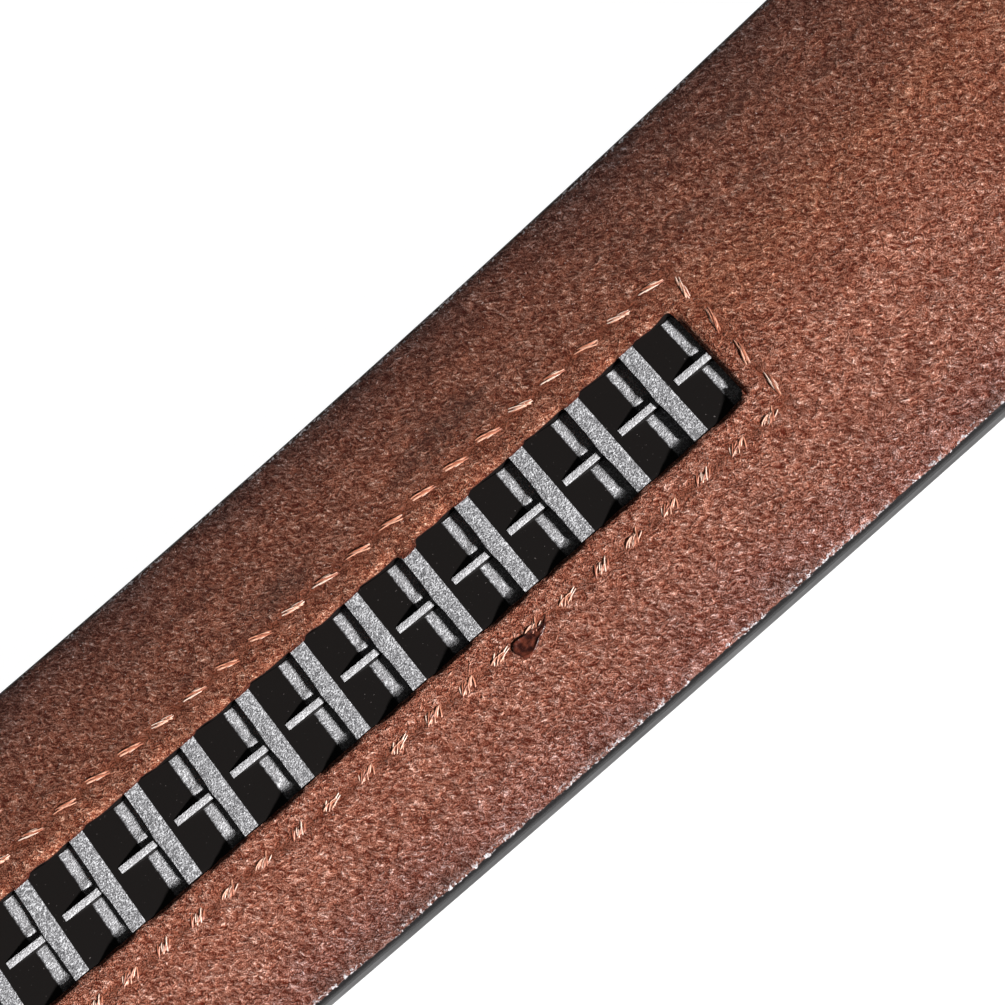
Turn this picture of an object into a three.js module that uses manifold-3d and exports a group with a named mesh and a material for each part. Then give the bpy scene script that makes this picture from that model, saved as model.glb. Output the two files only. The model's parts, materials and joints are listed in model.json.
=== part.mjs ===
// Ratchet belt: two leather layers, a toothed plastic rack held between them, and a plain buckle.
// The belt lies straight on its outer face, so its back and the rack face up.
// Millimetres. X runs along the belt towards the tip, Y across it, Z up from the surface it lies on.

import * as THREE from "three";
import { mergeVertices } from "three/addons/utils/BufferGeometryUtils.js";
import Module from "manifold-3d";

const wasm = await Module();
wasm.setup();

// Strap
const STRAP_LENGTH = 1110;
const STRAP_WIDTH = 38;
const OUTER_THICKNESS = 2.4;
const BACK_THICKNESS = 1.3;
const EDGE_ROUND = 0.8;
const TIP_LENGTH = 24;
const CLEARANCE = 0.3;

// How the strap lies
const DROOP_RADIUS = 225;
const CURL_RADIUS = 640;
const CURL_BEFORE_WINDOW_END = 96;
const CURL_PAST_WINDOW_END = 40;

// Window in the back leather
const WINDOW_TO_TIP = 72;
const WINDOW_CORNER = 0.65;

// Rack
const TOOTH_COUNT = 40;
const TOOTH_PITCH = 6;
const TOOTH_WIDTH = 9.4;
const TOOTH_HEIGHT = 1.2;
const TOOTH_SINK = 0.1;
const CREST_LENGTH = 1.4;
const RAMP_LENGTH = 2.9;
const FIN_WIDTH = 0.62;
const FIN_SETBACK = 0.4;
const FIN_END_DROP = 0.6;
const FLANGE_WIDTH = 18;
const FLANGE_THICKNESS = 0.8;
const FLANGE_END = 3.6;

// Buckle
const BUCKLE_LENGTH = 58;
const PLATE_THICKNESS = 3;
const PLATE_BEVEL = 0.8;
const BUCKLE_CORNER = 4;
const SIDE_WALL = 2;
const PASSAGE_SIDE_PLAY = 0.8;
const PASSAGE_PLAY = 1.6;
const CROSSBAR_LENGTH = 17;
const CROSSBAR_THICKNESS = 3.2;
const PAWL_LENGTH = 2.4;
const PAWL_WIDTH = 8.4;
const PAWL_DROP = 0.7;
const CLAMP_DEPTH = 18;
const CLAMP_END_WALL = 2.5;
const JAW_THICKNESS = 1.2;
const CLAMP_TOP = 1.6;
const STRAP_LEAD = 4;

// Fineness of the curved outlines
const ROUND_STEPS = 3;
const TIP_STEPS = 9;
const CORNER_STEPS = 3;
const ARC_STEP = 16;
const SINK = 0.4;

// Heights above the strap's underside
const backBottom = OUTER_THICKNESS + CLEARANCE;
const strapThickness = backBottom + BACK_THICKNESS;
const crestLevel = strapThickness - TOOTH_SINK;
const valleyLevel = crestLevel - TOOTH_HEIGHT;
const channelFloor = OUTER_THICKNESS - FLANGE_THICKNESS - CLEARANCE;

// Places along the strap, measured from its end in the buckle
const rackLength = TOOTH_COUNT * TOOTH_PITCH;
const windowEnd = STRAP_LENGTH - WINDOW_TO_TIP;
const rackEnd = windowEnd - CLEARANCE;
const rackStart = rackEnd - rackLength;
const windowStart = rackStart - CLEARANCE;
const windowWidth = TOOTH_WIDTH + 2 * CLEARANCE;

// Buckle levels and widths
const passageWidth = STRAP_WIDTH + 2 * PASSAGE_SIDE_PLAY;
const passageTop = PLATE_THICKNESS + strapThickness + PASSAGE_PLAY;
const buckleWidth = passageWidth + 2 * SIDE_WALL;
const clampFloor = passageTop + JAW_THICKNESS;
const strapLevel = clampFloor + CLEARANCE;
const clampCeiling = strapLevel + strapThickness + CLEARANCE;
const clampStart = BUCKLE_LENGTH - CLAMP_DEPTH;
const strapStart = clampStart + CLEARANCE;

// The line that the strap's underside follows, as straight stretches and arcs.
// A bend is in radians, and a positive one turns the rest of the strap upwards.
const droopBend = Math.acos(1 - strapLevel / (2 * DROOP_RADIUS));
const droopLength = DROOP_RADIUS * droopBend;
const leadLength = CLAMP_DEPTH + STRAP_LEAD;
const curlStart = windowEnd - CURL_BEFORE_WINDOW_END;
const curlEnd = windowEnd + CURL_PAST_WINDOW_END;
const stretches = [
  { name: "in the clamp", length: leadLength, bend: 0 },
  { name: "droop", length: droopLength, bend: -droopBend },
  { name: "settle", length: droopLength, bend: droopBend },
  { name: "flat", length: curlStart - leadLength - 2 * droopLength, bend: 0 },
  { name: "curl", length: curlEnd - curlStart, bend: (curlEnd - curlStart) / CURL_RADIUS },
  { name: "tip", length: STRAP_LENGTH - curlEnd, bend: 0 },
];

// Point and direction of the line after a given length
function follow(along) {
  let x = strapStart;
  let z = strapLevel;
  let angle = 0;
  let left = along;
  for (const stretch of stretches) {
    const last = stretch === stretches.at(-1);
    const used = last ? left : Math.min(left, stretch.length);
    const turn = stretch.bend * used / stretch.length;
    const chord = turn === 0 ? used : used * Math.sin(turn / 2) / (turn / 2);
    x += chord * Math.cos(angle + turn / 2);
    z += chord * Math.sin(angle + turn / 2);
    angle += turn;
    left -= used;
    if (left <= 0) break;
  }
  return { x, z, angle };
}

// Lays a point of the flat strap, given by its length, side and height, on the line
function lay(along, across, height) {
  const { x, z, angle } = follow(along);
  return [x - height * Math.sin(angle), across, z + height * Math.cos(angle)];
}

// Lengths at which a piece between two ends needs a section, so that it follows the arcs
function sectionsBetween(start, end) {
  const marks = [start];
  let from = 0;
  for (const { length, bend } of stretches) {
    const parts = bend === 0 ? 1 : Math.ceil(length / ARC_STEP);
    for (let i = 0; i <= parts; i += 1) {
      const mark = from + length * i / parts;
      if (mark > marks.at(-1) + SINK && mark < end - SINK) marks.push(mark);
    }
    from += length;
  }
  marks.push(end);
  return marks;
}

// Solids from meshes, and meshes from solids
function solid(geometry) {
  const bare = geometry.clone();
  bare.deleteAttribute("normal");
  bare.deleteAttribute("uv");
  const merged = mergeVertices(bare, 1e-4);
  const triangles = [];
  for (let i = 0; i < merged.index.count; i += 3) {
    const corners = [0, 1, 2].map((k) => merged.index.getX(i + k));
    if (new Set(corners).size === 3) triangles.push(...corners);
  }
  return new wasm.Manifold(new wasm.Mesh({
    numProp: 3,
    vertProperties: new Float32Array(merged.attributes.position.array),
    triVerts: new Uint32Array(triangles),
  }));
}

function geometryOf(body) {
  const { vertProperties, triVerts } = body.getMesh();
  const geometry = new THREE.BufferGeometry();
  geometry.setAttribute("position", new THREE.BufferAttribute(vertProperties, 3));
  geometry.setIndex(new THREE.BufferAttribute(triVerts, 1));
  return geometry;
}

function named(name, body, look) {
  const geometry = geometryOf(body).toNonIndexed();
  geometry.computeVertexNormals();
  const mesh = new THREE.Mesh(geometry, new THREE.MeshStandardMaterial(look));
  mesh.name = name;
  return mesh;
}

// A closed plate laid on the line. The outline is a list of pairs of points, one on each side,
// with the direction in which its edge faces. The levels are insets from it and heights.
function plate(outline, levels) {
  const rings = levels.map(({ inset, height }) => outline.map((pair) => {
    const along = pair.along - inset * pair.faceAlong;
    const across = Math.max(pair.across - inset * pair.faceAcross, 0);
    return [lay(along, -across, height), lay(along, across, height)];
  }));
  const corners = [];
  const quad = (a, b, c, d) => corners.push(a, b, c, a, c, d);
  for (let i = 0; i + 1 < outline.length; i += 1) {
    for (let k = 0; k + 1 < rings.length; k += 1) {
      const [low, high] = [rings[k], rings[k + 1]];
      quad(low[i][0], low[i + 1][0], high[i + 1][0], high[i][0]);
      quad(low[i + 1][1], low[i][1], high[i][1], high[i + 1][1]);
    }
    const [bottom, top] = [rings[0], rings.at(-1)];
    quad(bottom[i][1], bottom[i + 1][1], bottom[i + 1][0], bottom[i][0]);
    quad(top[i][0], top[i + 1][0], top[i + 1][1], top[i][1]);
  }
  const end = outline.length - 1;
  for (let k = 0; k + 1 < rings.length; k += 1) {
    const [low, high] = [rings[k], rings[k + 1]];
    quad(low[0][1], low[0][0], high[0][0], high[0][1]);
    quad(low[end][0], low[end][1], high[end][1], high[end][0]);
  }
  const geometry = new THREE.BufferGeometry();
  geometry.setAttribute("position", new THREE.Float32BufferAttribute(corners.flat(), 3));
  return solid(geometry);
}

// Pairs of an outline with straight sides
function straightPairs(start, end, halfWidth) {
  return sectionsBetween(start, end).map((along) => (
    { along, across: halfWidth, faceAlong: 0, faceAcross: 1 }
  ));
}

// Quarter of an ellipse, from the side of the strap to its middle at the end
function endPairs(from, reach, halfWidth, steps, middle = 0) {
  const pairs = [];
  for (let i = 1; i <= steps; i += 1) {
    const turn = Math.PI / 2 * i / steps;
    const face = new THREE.Vector2(Math.sin(turn) / Math.abs(reach), Math.cos(turn) / halfWidth);
    face.normalize();
    pairs.push({
      along: from + reach * Math.sin(turn),
      across: middle + halfWidth * Math.cos(turn),
      faceAlong: Math.sign(reach) * face.x,
      faceAcross: face.y,
    });
  }
  return pairs;
}

// A prism across the strap: its outline is drawn in lengths and heights, then laid on the line
function crosswise(points, width) {
  const laid = points.map(([along, height]) => {
    const [x, , z] = lay(along, 0, height);
    return new THREE.Vector2(x, z);
  });
  return standing(laid, width);
}

// A prism along Y from an outline in X and Z
function standing(outline, width) {
  const geometry = new THREE.ExtrudeGeometry(new THREE.Shape(outline), {
    depth: width,
    bevelEnabled: false,
  });
  geometry.rotateX(Math.PI / 2);
  geometry.translate(0, width / 2, 0);
  return solid(geometry);
}

function slab(start, end, bottom, top, width) {
  const marks = sectionsBetween(start, end);
  const under = marks.map((along) => [along, bottom]);
  const over = marks.map((along) => [along, top]).reverse();
  return crosswise([...under, ...over], width);
}

// Insets and heights of a rounded edge, from the face to the side
function roundedEdge(face, side) {
  const levels = [];
  for (let i = 0; i <= ROUND_STEPS; i += 1) {
    const turn = Math.PI / 2 * i / ROUND_STEPS;
    levels.push({
      inset: EDGE_ROUND * (1 - Math.sin(turn)),
      height: face + (side - face) * (1 - Math.cos(turn)),
    });
  }
  return levels;
}

// The strap's outline, square in the buckle and round at the tip
const strapOutline = [
  { along: 0, across: STRAP_WIDTH / 2, faceAlong: 0, faceAcross: 1 },
  ...straightPairs(0, STRAP_LENGTH - TIP_LENGTH, STRAP_WIDTH / 2).slice(1),
  ...endPairs(STRAP_LENGTH - TIP_LENGTH, TIP_LENGTH, STRAP_WIDTH / 2, TIP_STEPS),
];

function outerStrap() {
  const body = plate(strapOutline, [
    ...roundedEdge(0, EDGE_ROUND),
    { inset: 0, height: OUTER_THICKNESS },
  ]);
  const channel = slab(
    rackStart - FLANGE_END - CLEARANCE,
    rackEnd + FLANGE_END + CLEARANCE,
    channelFloor,
    OUTER_THICKNESS + SINK,
    FLANGE_WIDTH + 2 * CLEARANCE,
  );
  return body.subtract(channel);
}

function backStrap() {
  const body = plate(strapOutline, [
    { inset: 0, height: backBottom },
    ...roundedEdge(strapThickness, strapThickness - EDGE_ROUND).reverse(),
  ]);
  const middle = windowWidth / 2 - WINDOW_CORNER;
  const corner = (from, reach) => endPairs(from, reach, WINDOW_CORNER, CORNER_STEPS, middle);
  const opening = plate(
    [
      ...corner(windowStart + WINDOW_CORNER, -WINDOW_CORNER).reverse(),
      ...straightPairs(windowStart + WINDOW_CORNER, windowEnd - WINDOW_CORNER, windowWidth / 2),
      ...corner(windowEnd - WINDOW_CORNER, WINDOW_CORNER),
    ],
    [
      { inset: 0, height: backBottom - SINK },
      { inset: 0, height: strapThickness + SINK },
    ],
  );
  return body.subtract(opening);
}

// One tooth: a flat crest, a ramp down towards the tip, and the valley before the next crest
function toothProfile(start) {
  return [
    [start, crestLevel],
    [start + CREST_LENGTH, crestLevel],
    [start + CREST_LENGTH + RAMP_LENGTH, valleyLevel],
    [start + TOOTH_PITCH, valleyLevel],
  ];
}

// The fin in the middle of a tooth runs from its ramp to the wall of the next crest
function fin(start, reach) {
  const rampSlope = TOOTH_HEIGHT / RAMP_LENGTH;
  const finStart = start + CREST_LENGTH + FIN_SETBACK;
  const topAtStart = crestLevel - FIN_SETBACK * rampSlope;
  return crosswise([
    [finStart, valleyLevel - SINK / 2],
    [reach, valleyLevel - SINK / 2],
    [reach, crestLevel - FIN_END_DROP],
    [finStart, topAtStart],
  ], FIN_WIDTH);
}

function ratchetRack() {
  const starts = Array.from({ length: TOOTH_COUNT }, (_, i) => rackStart + i * TOOTH_PITCH);
  const root = OUTER_THICKNESS - FLANGE_THICKNESS / 2;
  const foot = [...starts, rackEnd].map((along) => [along, root]).reverse();
  let body = crosswise([...starts.flatMap(toothProfile), ...foot], TOOTH_WIDTH);
  const flange = slab(
    rackStart - FLANGE_END,
    rackEnd + FLANGE_END,
    OUTER_THICKNESS - FLANGE_THICKNESS,
    OUTER_THICKNESS,
    FLANGE_WIDTH,
  );
  body = body.add(flange);
  for (const start of starts) {
    const last = start === starts.at(-1);
    body = body.add(fin(start, start + TOOTH_PITCH + (last ? 0 : FIN_WIDTH / 2)));
  }
  return body;
}

// Boxes of the buckle, between two corners
function block(low, high) {
  const size = high.map((value, i) => value - low[i]);
  const geometry = new THREE.BoxGeometry(...size);
  geometry.translate(...low.map((value, i) => value + size[i] / 2));
  return solid(geometry);
}

function roundedRectangle(length, width, radius) {
  const shape = new THREE.Shape();
  const [x, y] = [length / 2 - radius, width / 2 - radius];
  shape.absarc(x, -y, radius, -Math.PI / 2, 0);
  shape.absarc(x, y, radius, 0, Math.PI / 2);
  shape.absarc(-x, y, radius, Math.PI / 2, Math.PI);
  shape.absarc(-x, -y, radius, Math.PI, Math.PI * 1.5);
  return shape;
}

// The whole outside of the buckle, with a bevel round its top and its bottom
function buckleOutside() {
  const height = clampCeiling + CLAMP_TOP;
  const shape = roundedRectangle(
    BUCKLE_LENGTH - 2 * PLATE_BEVEL,
    buckleWidth - 2 * PLATE_BEVEL,
    BUCKLE_CORNER - PLATE_BEVEL,
  );
  const geometry = new THREE.ExtrudeGeometry(shape, {
    depth: height - 2 * PLATE_BEVEL,
    bevelThickness: PLATE_BEVEL,
    bevelSize: PLATE_BEVEL,
    bevelSegments: 2,
    curveSegments: 5,
  });
  geometry.translate(BUCKLE_LENGTH / 2, 0, PLATE_BEVEL);
  return solid(geometry);
}

function buckle() {
  const side = buckleWidth / 2 + SINK;
  const height = clampCeiling + CLAMP_TOP + SINK;
  const crossbarTop = passageTop + CROSSBAR_THICKNESS;
  const clampBack = clampStart - CLAMP_END_WALL;
  const inside = passageWidth / 2;
  const pawlStart = (CROSSBAR_LENGTH - PAWL_LENGTH) / 2;
  return buckleOutside()
    .subtract(block([-SINK, -inside, PLATE_THICKNESS], [BUCKLE_LENGTH + SINK, inside, passageTop]))
    .subtract(block([-SINK, -side, crossbarTop], [clampBack, side, height]))
    .subtract(block([CROSSBAR_LENGTH, -inside, PLATE_THICKNESS], [clampBack, inside, height]))
    .subtract(block([clampStart, -inside, clampFloor], [BUCKLE_LENGTH + SINK, inside, clampCeiling]))
    .add(block(
      [pawlStart, -PAWL_WIDTH / 2, passageTop - PAWL_DROP],
      [pawlStart + PAWL_LENGTH, PAWL_WIDTH / 2, passageTop + SINK],
    ));
}

const LEATHER = { color: 0x7a4e3c, roughness: 0.85, metalness: 0 };
const OUTER_LEATHER = { color: 0x4e2c20, roughness: 0.5, metalness: 0 };
const RACK_PLASTIC = { color: 0x1e1c1b, roughness: 0.45, metalness: 0 };
const BUCKLE_METAL = { color: 0x8c8a86, roughness: 0.35, metalness: 1 };

const belt = new THREE.Group();
belt.add(
  named("outer_strap", outerStrap(), OUTER_LEATHER),
  named("back_strap", backStrap(), LEATHER),
  named("ratchet_rack", ratchetRack(), RACK_PLASTIC),
  named("buckle", buckle(), BUCKLE_METAL),
);

// The origin is under the middle of the whole belt
const middle = new THREE.Box3().setFromObject(belt).getCenter(new THREE.Vector3());
belt.position.x = -middle.x;

export default belt;
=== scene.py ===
# Looks of the ratchet belt: napped leather with its stitched window, moulded rack, edges and buckle.
# Metres. The strap is drawn flat, by length, side and height, and then laid on the line it follows.

import json
import math

import bmesh
import bpy
import numpy as np
from mathutils import Matrix, Vector

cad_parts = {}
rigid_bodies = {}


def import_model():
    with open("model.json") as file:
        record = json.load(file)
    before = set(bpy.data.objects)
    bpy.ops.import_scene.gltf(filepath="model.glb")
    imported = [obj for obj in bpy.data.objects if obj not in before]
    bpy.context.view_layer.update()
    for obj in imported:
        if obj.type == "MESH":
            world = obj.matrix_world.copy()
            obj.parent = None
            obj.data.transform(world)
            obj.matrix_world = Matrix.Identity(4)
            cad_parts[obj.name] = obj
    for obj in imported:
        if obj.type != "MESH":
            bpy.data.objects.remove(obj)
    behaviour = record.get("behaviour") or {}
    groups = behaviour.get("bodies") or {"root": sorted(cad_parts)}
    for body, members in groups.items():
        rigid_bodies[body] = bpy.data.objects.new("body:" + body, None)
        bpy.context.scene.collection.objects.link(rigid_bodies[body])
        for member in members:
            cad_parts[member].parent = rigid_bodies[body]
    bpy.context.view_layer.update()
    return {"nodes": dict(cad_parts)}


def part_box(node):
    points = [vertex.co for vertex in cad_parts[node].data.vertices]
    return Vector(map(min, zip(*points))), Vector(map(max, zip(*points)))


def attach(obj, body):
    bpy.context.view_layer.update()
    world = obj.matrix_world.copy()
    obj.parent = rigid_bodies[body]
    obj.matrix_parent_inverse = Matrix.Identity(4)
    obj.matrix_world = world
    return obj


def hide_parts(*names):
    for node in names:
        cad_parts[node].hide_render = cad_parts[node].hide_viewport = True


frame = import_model()

# Strap
STRAP_LENGTH = 1.110
STRAP_WIDTH = 0.038
STRAP_THICKNESS = 0.004
LAYER_SEAM = 0.0025
EDGE_ROUND = 0.0008
EDGE_CROWN = 10.0
TIP_LENGTH = 0.024
CLEARANCE = 0.0003

# How the strap lies
CLAMP_TOP = 0.0016
LEAD_LENGTH = 0.022
DROOP_RADIUS = 0.225
CURL_RADIUS = 0.640
CURL_BEFORE_WINDOW_END = 0.096
CURL_PAST_WINDOW_END = 0.040

# Window in the back leather
WINDOW_TO_TIP = 0.072
WINDOW_CORNER = 0.00065
WINDOW_HALF = 0.0050
LOWER_EDGE = 0.00478
LOWER_EDGE_INWARD = 0.00018
CREST_DROOP = 0.00025
VALLEY_DROOP = 0.00045
UPPER_DROOP = 0.00055
END_DROOP = 0.0006
DROOP_REACH = 0.00032
DROOP_POWER = 1.4
DROOP_ENDS = (0.0005, 0.002)
END_DROOP_SIDES = (0.00358, 0.00518)
UPPER_EDGE = 0.00492
END_LAP = 0.0008
TAB_REACH = 0.00435
TAB_LEVEL = 0.00391

# Rack
TOOTH_COUNT = 40
TOOTH_PITCH = 0.006
TOOTH_HALF = 0.0047
TOOTH_UPPER = 0.00486
CREST_LEVEL = 0.0039
VALLEY_LEVEL = 0.0027
CREST_LENGTH = 0.0014
RAMP_LENGTH = 0.0029
FIN_HALF = 0.00031
FIN_SETBACK = 0.0006
FIN_START_DROP = 0.00016
FIN_END_DROP = 0.0006
FLANGE_HALF = 0.009
FLANGE_TOP = 0.0024
FLANGE_THICKNESS = 0.0008
FLANGE_END = 0.0036

# Stitching round the window
SEAM_SIDE = 0.00235
SEAM_END = 0.0013
STITCH_PITCH = 0.0036
STRAND_RADIUS = 0.000058

# Places along the strap
window_end = STRAP_LENGTH - WINDOW_TO_TIP
rack_start = window_end - CLEARANCE - TOOTH_COUNT * TOOTH_PITCH
rack_end = window_end - CLEARANCE
window_start = rack_start - CLEARANCE
open_end = window_end - END_LAP
tip_start = STRAP_LENGTH - TIP_LENGTH
half_width = STRAP_WIDTH / 2

# The line that the strap's underside follows, from its end in the buckle
line_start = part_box("outer_strap")[0].x
line_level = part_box("buckle")[1].z - CLAMP_TOP - CLEARANCE - STRAP_THICKNESS
droop_bend = math.acos(1 - line_level / (2 * DROOP_RADIUS))
droop_length = DROOP_RADIUS * droop_bend
curl_start = window_end - CURL_BEFORE_WINDOW_END
curl_end = window_end + CURL_PAST_WINDOW_END
STRETCHES = (
    (LEAD_LENGTH, 0.0),
    (droop_length, -droop_bend),
    (droop_length, droop_bend),
    (curl_start - LEAD_LENGTH - 2 * droop_length, 0.0),
    (curl_end - curl_start, (curl_end - curl_start) / CURL_RADIUS),
    (STRAP_LENGTH - curl_end, 0.0),
)


def follow(along):
    """X, Z and slope of the strap's line at lengths along it."""
    along = np.asarray(along, float)
    x = np.full_like(along, line_start)
    z = np.full_like(along, line_level)
    slope = np.zeros_like(along)
    left = along.copy()
    for number, (length, bend) in enumerate(STRETCHES):
        last = number == len(STRETCHES) - 1
        used = left if last else np.minimum(left, length)
        turn = bend * used / length
        chord = used * np.sinc(turn / (2 * math.pi))
        x += chord * np.cos(slope + turn / 2)
        z += chord * np.sin(slope + turn / 2)
        slope += turn
        left = left - used
    return x, z, slope


def lay(along, across, height):
    """Points of the flat strap, given by length, side and height, laid on its line."""
    x, z, slope = follow(along)
    return np.stack(
        [x - height * np.sin(slope), np.broadcast_to(across, x.shape), z + height * np.cos(slope)],
        axis=-1,
    )


def steps(*marks):
    """Lengths from the first mark on. Each later mark comes with the longest step up to it."""
    lengths = [marks[0]]
    for end, step in marks[1:]:
        start = lengths[-1]
        count = max(1, math.ceil((end - start) / step - 1e-6))
        lengths += [start + (end - start) * k / count for k in range(1, count + 1)]
    return np.array(lengths)


def ease(value, low, high):
    """0 below low, 1 above high, and a smooth rise between."""
    share = np.clip((value - low) / (high - low), 0, 1)
    return share * share * (3 - 2 * share)


def wander(rng, places, spacing, height):
    """A smooth random line over the places, with a new knot at each spacing."""
    knots = np.arange(places.min() - spacing, places.max() + 2 * spacing, spacing)
    levels = rng.uniform(-height, height, len(knots))
    left = np.clip(np.searchsorted(knots, places) - 1, 0, len(knots) - 2)
    share = ease(places, knots[left], knots[left + 1])
    return levels[left] * (1 - share) + levels[left + 1] * share


# Objects
WELD = 1e-6


def show(name, mesh):
    piece = bpy.data.objects.new(name, mesh)
    bpy.context.scene.collection.objects.link(piece)
    return piece


def mesh_of(name, points, faces, marks=None, sharp=40):
    """A mesh with faces pointing out, named point attributes and edges sharp past an angle."""
    mesh = bpy.data.meshes.new(name)
    mesh.from_pydata([tuple(p) for p in points], [], faces)
    for label, values in (marks or {}).items():
        layer = mesh.attributes.new(label, "FLOAT", "POINT")
        layer.data.foreach_set("value", np.asarray(values, np.float32))
    body = bmesh.new()
    body.from_mesh(mesh)
    bmesh.ops.remove_doubles(body, verts=body.verts, dist=WELD)
    bmesh.ops.dissolve_degenerate(body, edges=body.edges, dist=WELD / 10)
    bmesh.ops.recalc_face_normals(body, faces=body.faces)
    body.to_mesh(mesh)
    body.free()
    mesh.polygons.foreach_set("use_smooth", [True] * len(mesh.polygons))
    mesh.set_sharp_from_angle(angle=math.radians(sharp))
    return mesh


def loft(loops):
    """Points and faces of a skin, closed at both ends, through loops of equally many points."""
    count = loops.shape[1]
    points = loops.reshape(-1, 3)
    faces = []
    for i in range(len(loops) - 1):
        for j in range(count):
            k = (j + 1) % count
            faces.append((i * count + j, i * count + k, (i + 1) * count + k, (i + 1) * count + j))
    faces.append(tuple(range(count)))
    faces.append(tuple(range((len(loops) - 1) * count, len(loops) * count)))
    return points, faces


# The strap's outline and edge
TIP_COLUMNS = 28
ROUND_COLUMNS = 6
EDGE_STOP = 0.0002


def strap_outline(lengths):
    """Length and half width of the outline at each column, and the way its edge faces."""
    columns = [(a, half_width, 0.0, 1.0) for a in lengths]
    for k in range(1, TIP_COLUMNS + 1):
        turn = math.pi / 2 * k / TIP_COLUMNS
        face = Vector((math.sin(turn) / TIP_LENGTH, math.cos(turn) / half_width)).normalized()
        columns.append((
            tip_start + TIP_LENGTH * math.sin(turn),
            half_width * math.cos(turn),
            face.x,
            face.y,
        ))
    return np.array(columns).T


def edge_levels(face):
    """Insets and heights of the strap's crowned edge, from a face to just before the layers' seam."""
    turns = np.linspace(0, math.pi / 2, ROUND_COLUMNS + 1)
    middle = STRAP_THICKNESS / 2
    last = LAYER_SEAM + math.copysign(EDGE_STOP, face - middle)
    heights = last + (face - last) * np.cos(turns)
    return EDGE_ROUND * (np.abs(heights - middle) / middle) ** EDGE_CROWN, heights


# Needle holes of the stitching, as lengths and sides, once round the window
def seam_holes():
    side = WINDOW_HALF + SEAM_SIDE
    low, high = window_start - SEAM_END, window_end + SEAM_END
    row_count = round((high - low) / STITCH_PITCH)
    end_count = round(2 * side / STITCH_PITCH)
    upper = [(low + (high - low) * k / row_count, side) for k in range(row_count)]
    tip_end = [(high, side - 2 * side * k / end_count) for k in range(end_count)]
    lower = [(high - (high - low) * k / row_count, -side) for k in range(row_count)]
    buckle_end = [(low, -side + 2 * side * k / end_count) for k in range(end_count)]
    return np.array(upper + tip_end + lower + buckle_end), row_count, end_count


HOLES, ROW_STITCHES, END_STITCHES = seam_holes()
HOLE_DEPTH = 0.00007
HOLE_SIZE = 0.00034
SEAM_DEPTH = 0.00007
SEAM_SOFTNESS = 0.0005


def seam_marks(along, across):
    """How near each place is to the seam and to a needle hole, from 0 to 1."""
    side = WINDOW_HALF + SEAM_SIDE
    low, high = window_start - SEAM_END, window_end + SEAM_END
    beyond = np.clip(low - along, 0, None) + np.clip(along - high, 0, None)
    to_row = np.hypot(np.abs(across) - side, beyond)
    outside = np.clip(np.abs(across) - side, 0, None)
    to_end = np.hypot(np.minimum(np.abs(along - low), np.abs(along - high)), outside)
    seam = np.exp(-(np.minimum(to_row, to_end) / SEAM_SOFTNESS) ** 2)
    nearest = np.full(along.shape, 1.0)
    for hole_along, hole_across in HOLES:
        close = np.abs(along - hole_along) < 4 * HOLE_SIZE
        gap = np.hypot(along[close] - hole_along, across[close] - hole_across)
        nearest[close] = np.minimum(nearest[close], gap)
    return seam, np.exp(-(nearest / HOLE_SIZE) ** 2)


# Back leather
BACK_SEED = 11
FINE_STEP = 0.0003
COARSE_STEP = 0.004
CORNER_STEP = 0.0001
SEAM_ZONE = 0.004
EDGE_STATIONS = ((0.0006, 0.0001), (0.0009, 0.00015), (0.0051, 0.0003))
FLAT_STEP = 0.0012
MIDDLE_COLUMNS = 24
WALL_ROWS = 4

# Raggedness of the window's cut edges, as spacing and height, and how far it reaches out
UPPER_RAGGED = (0.0009, 0.00006)
LOWER_RAGGED = (0.0008, 0.00005)
RAGGED_REACH = 0.0009

# The lap of the cut edge over the crests: usual shares, the long one, and how it fades
TAB_SHARES = (0.27, 0.6)
LONG_TAB = TOOTH_COUNT - 5
LONG_TAB_SHARE = 1.25
TAB_EASE = (0.0004, 0.0005)
VALLEY_EASE = (0.0005, 0.0026)
CREST_START = 0.0001
LIP_DROP = 0.00006
LIP_SHIFT = 0.00003
LIP_INWARD = 0.00002
FAR_FROM_EDGE = 0.01

# Slow waves of the back
WAVE_SPACING = 0.007
WAVE_HEIGHT = 0.00004
WAVE_RATE = 420
WAVE_PHASE = 1.3


def window_edge(along):
    """Half width of the window at each length, before the leather's own raggedness."""
    from_end = np.minimum(along - window_start, open_end - along)
    depth = np.clip(WINDOW_CORNER - np.clip(from_end, 0, None), 0, None)
    return WINDOW_HALF - WINDOW_CORNER + np.sqrt(WINDOW_CORNER**2 - depth**2)


def crest_shares(along, rise, fall):
    """The tooth at each length, and how near it is to that tooth's crest, from 0 to 1."""
    tooth = np.clip(np.floor((along - rack_start + rise) / TOOTH_PITCH), 0, TOOTH_COUNT - 1)
    place = along - rack_start - tooth * TOOTH_PITCH
    share = ease(place, -rise, CREST_START) * (1 - ease(place, CREST_LENGTH, CREST_LENGTH + fall))
    return tooth.astype(int), share


def tab_shares(along, rng):
    """How far the cut edge laps over the end of each crest, with one tab longer than the rest."""
    tooth, share = crest_shares(along, *TAB_EASE)
    least, more = TAB_SHARES
    reach = least + more * rng.uniform(0, 1, TOOTH_COUNT) ** 2
    reach[LONG_TAB] = LONG_TAB_SHARE
    return reach[tooth] * share


def sag_shares(distance):
    """How much of its droop the leather has at distances from a cut edge, from 1 down to 0."""
    return np.exp(-(np.clip(distance, 0, None) / DROOP_REACH) ** DROOP_POWER)


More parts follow.
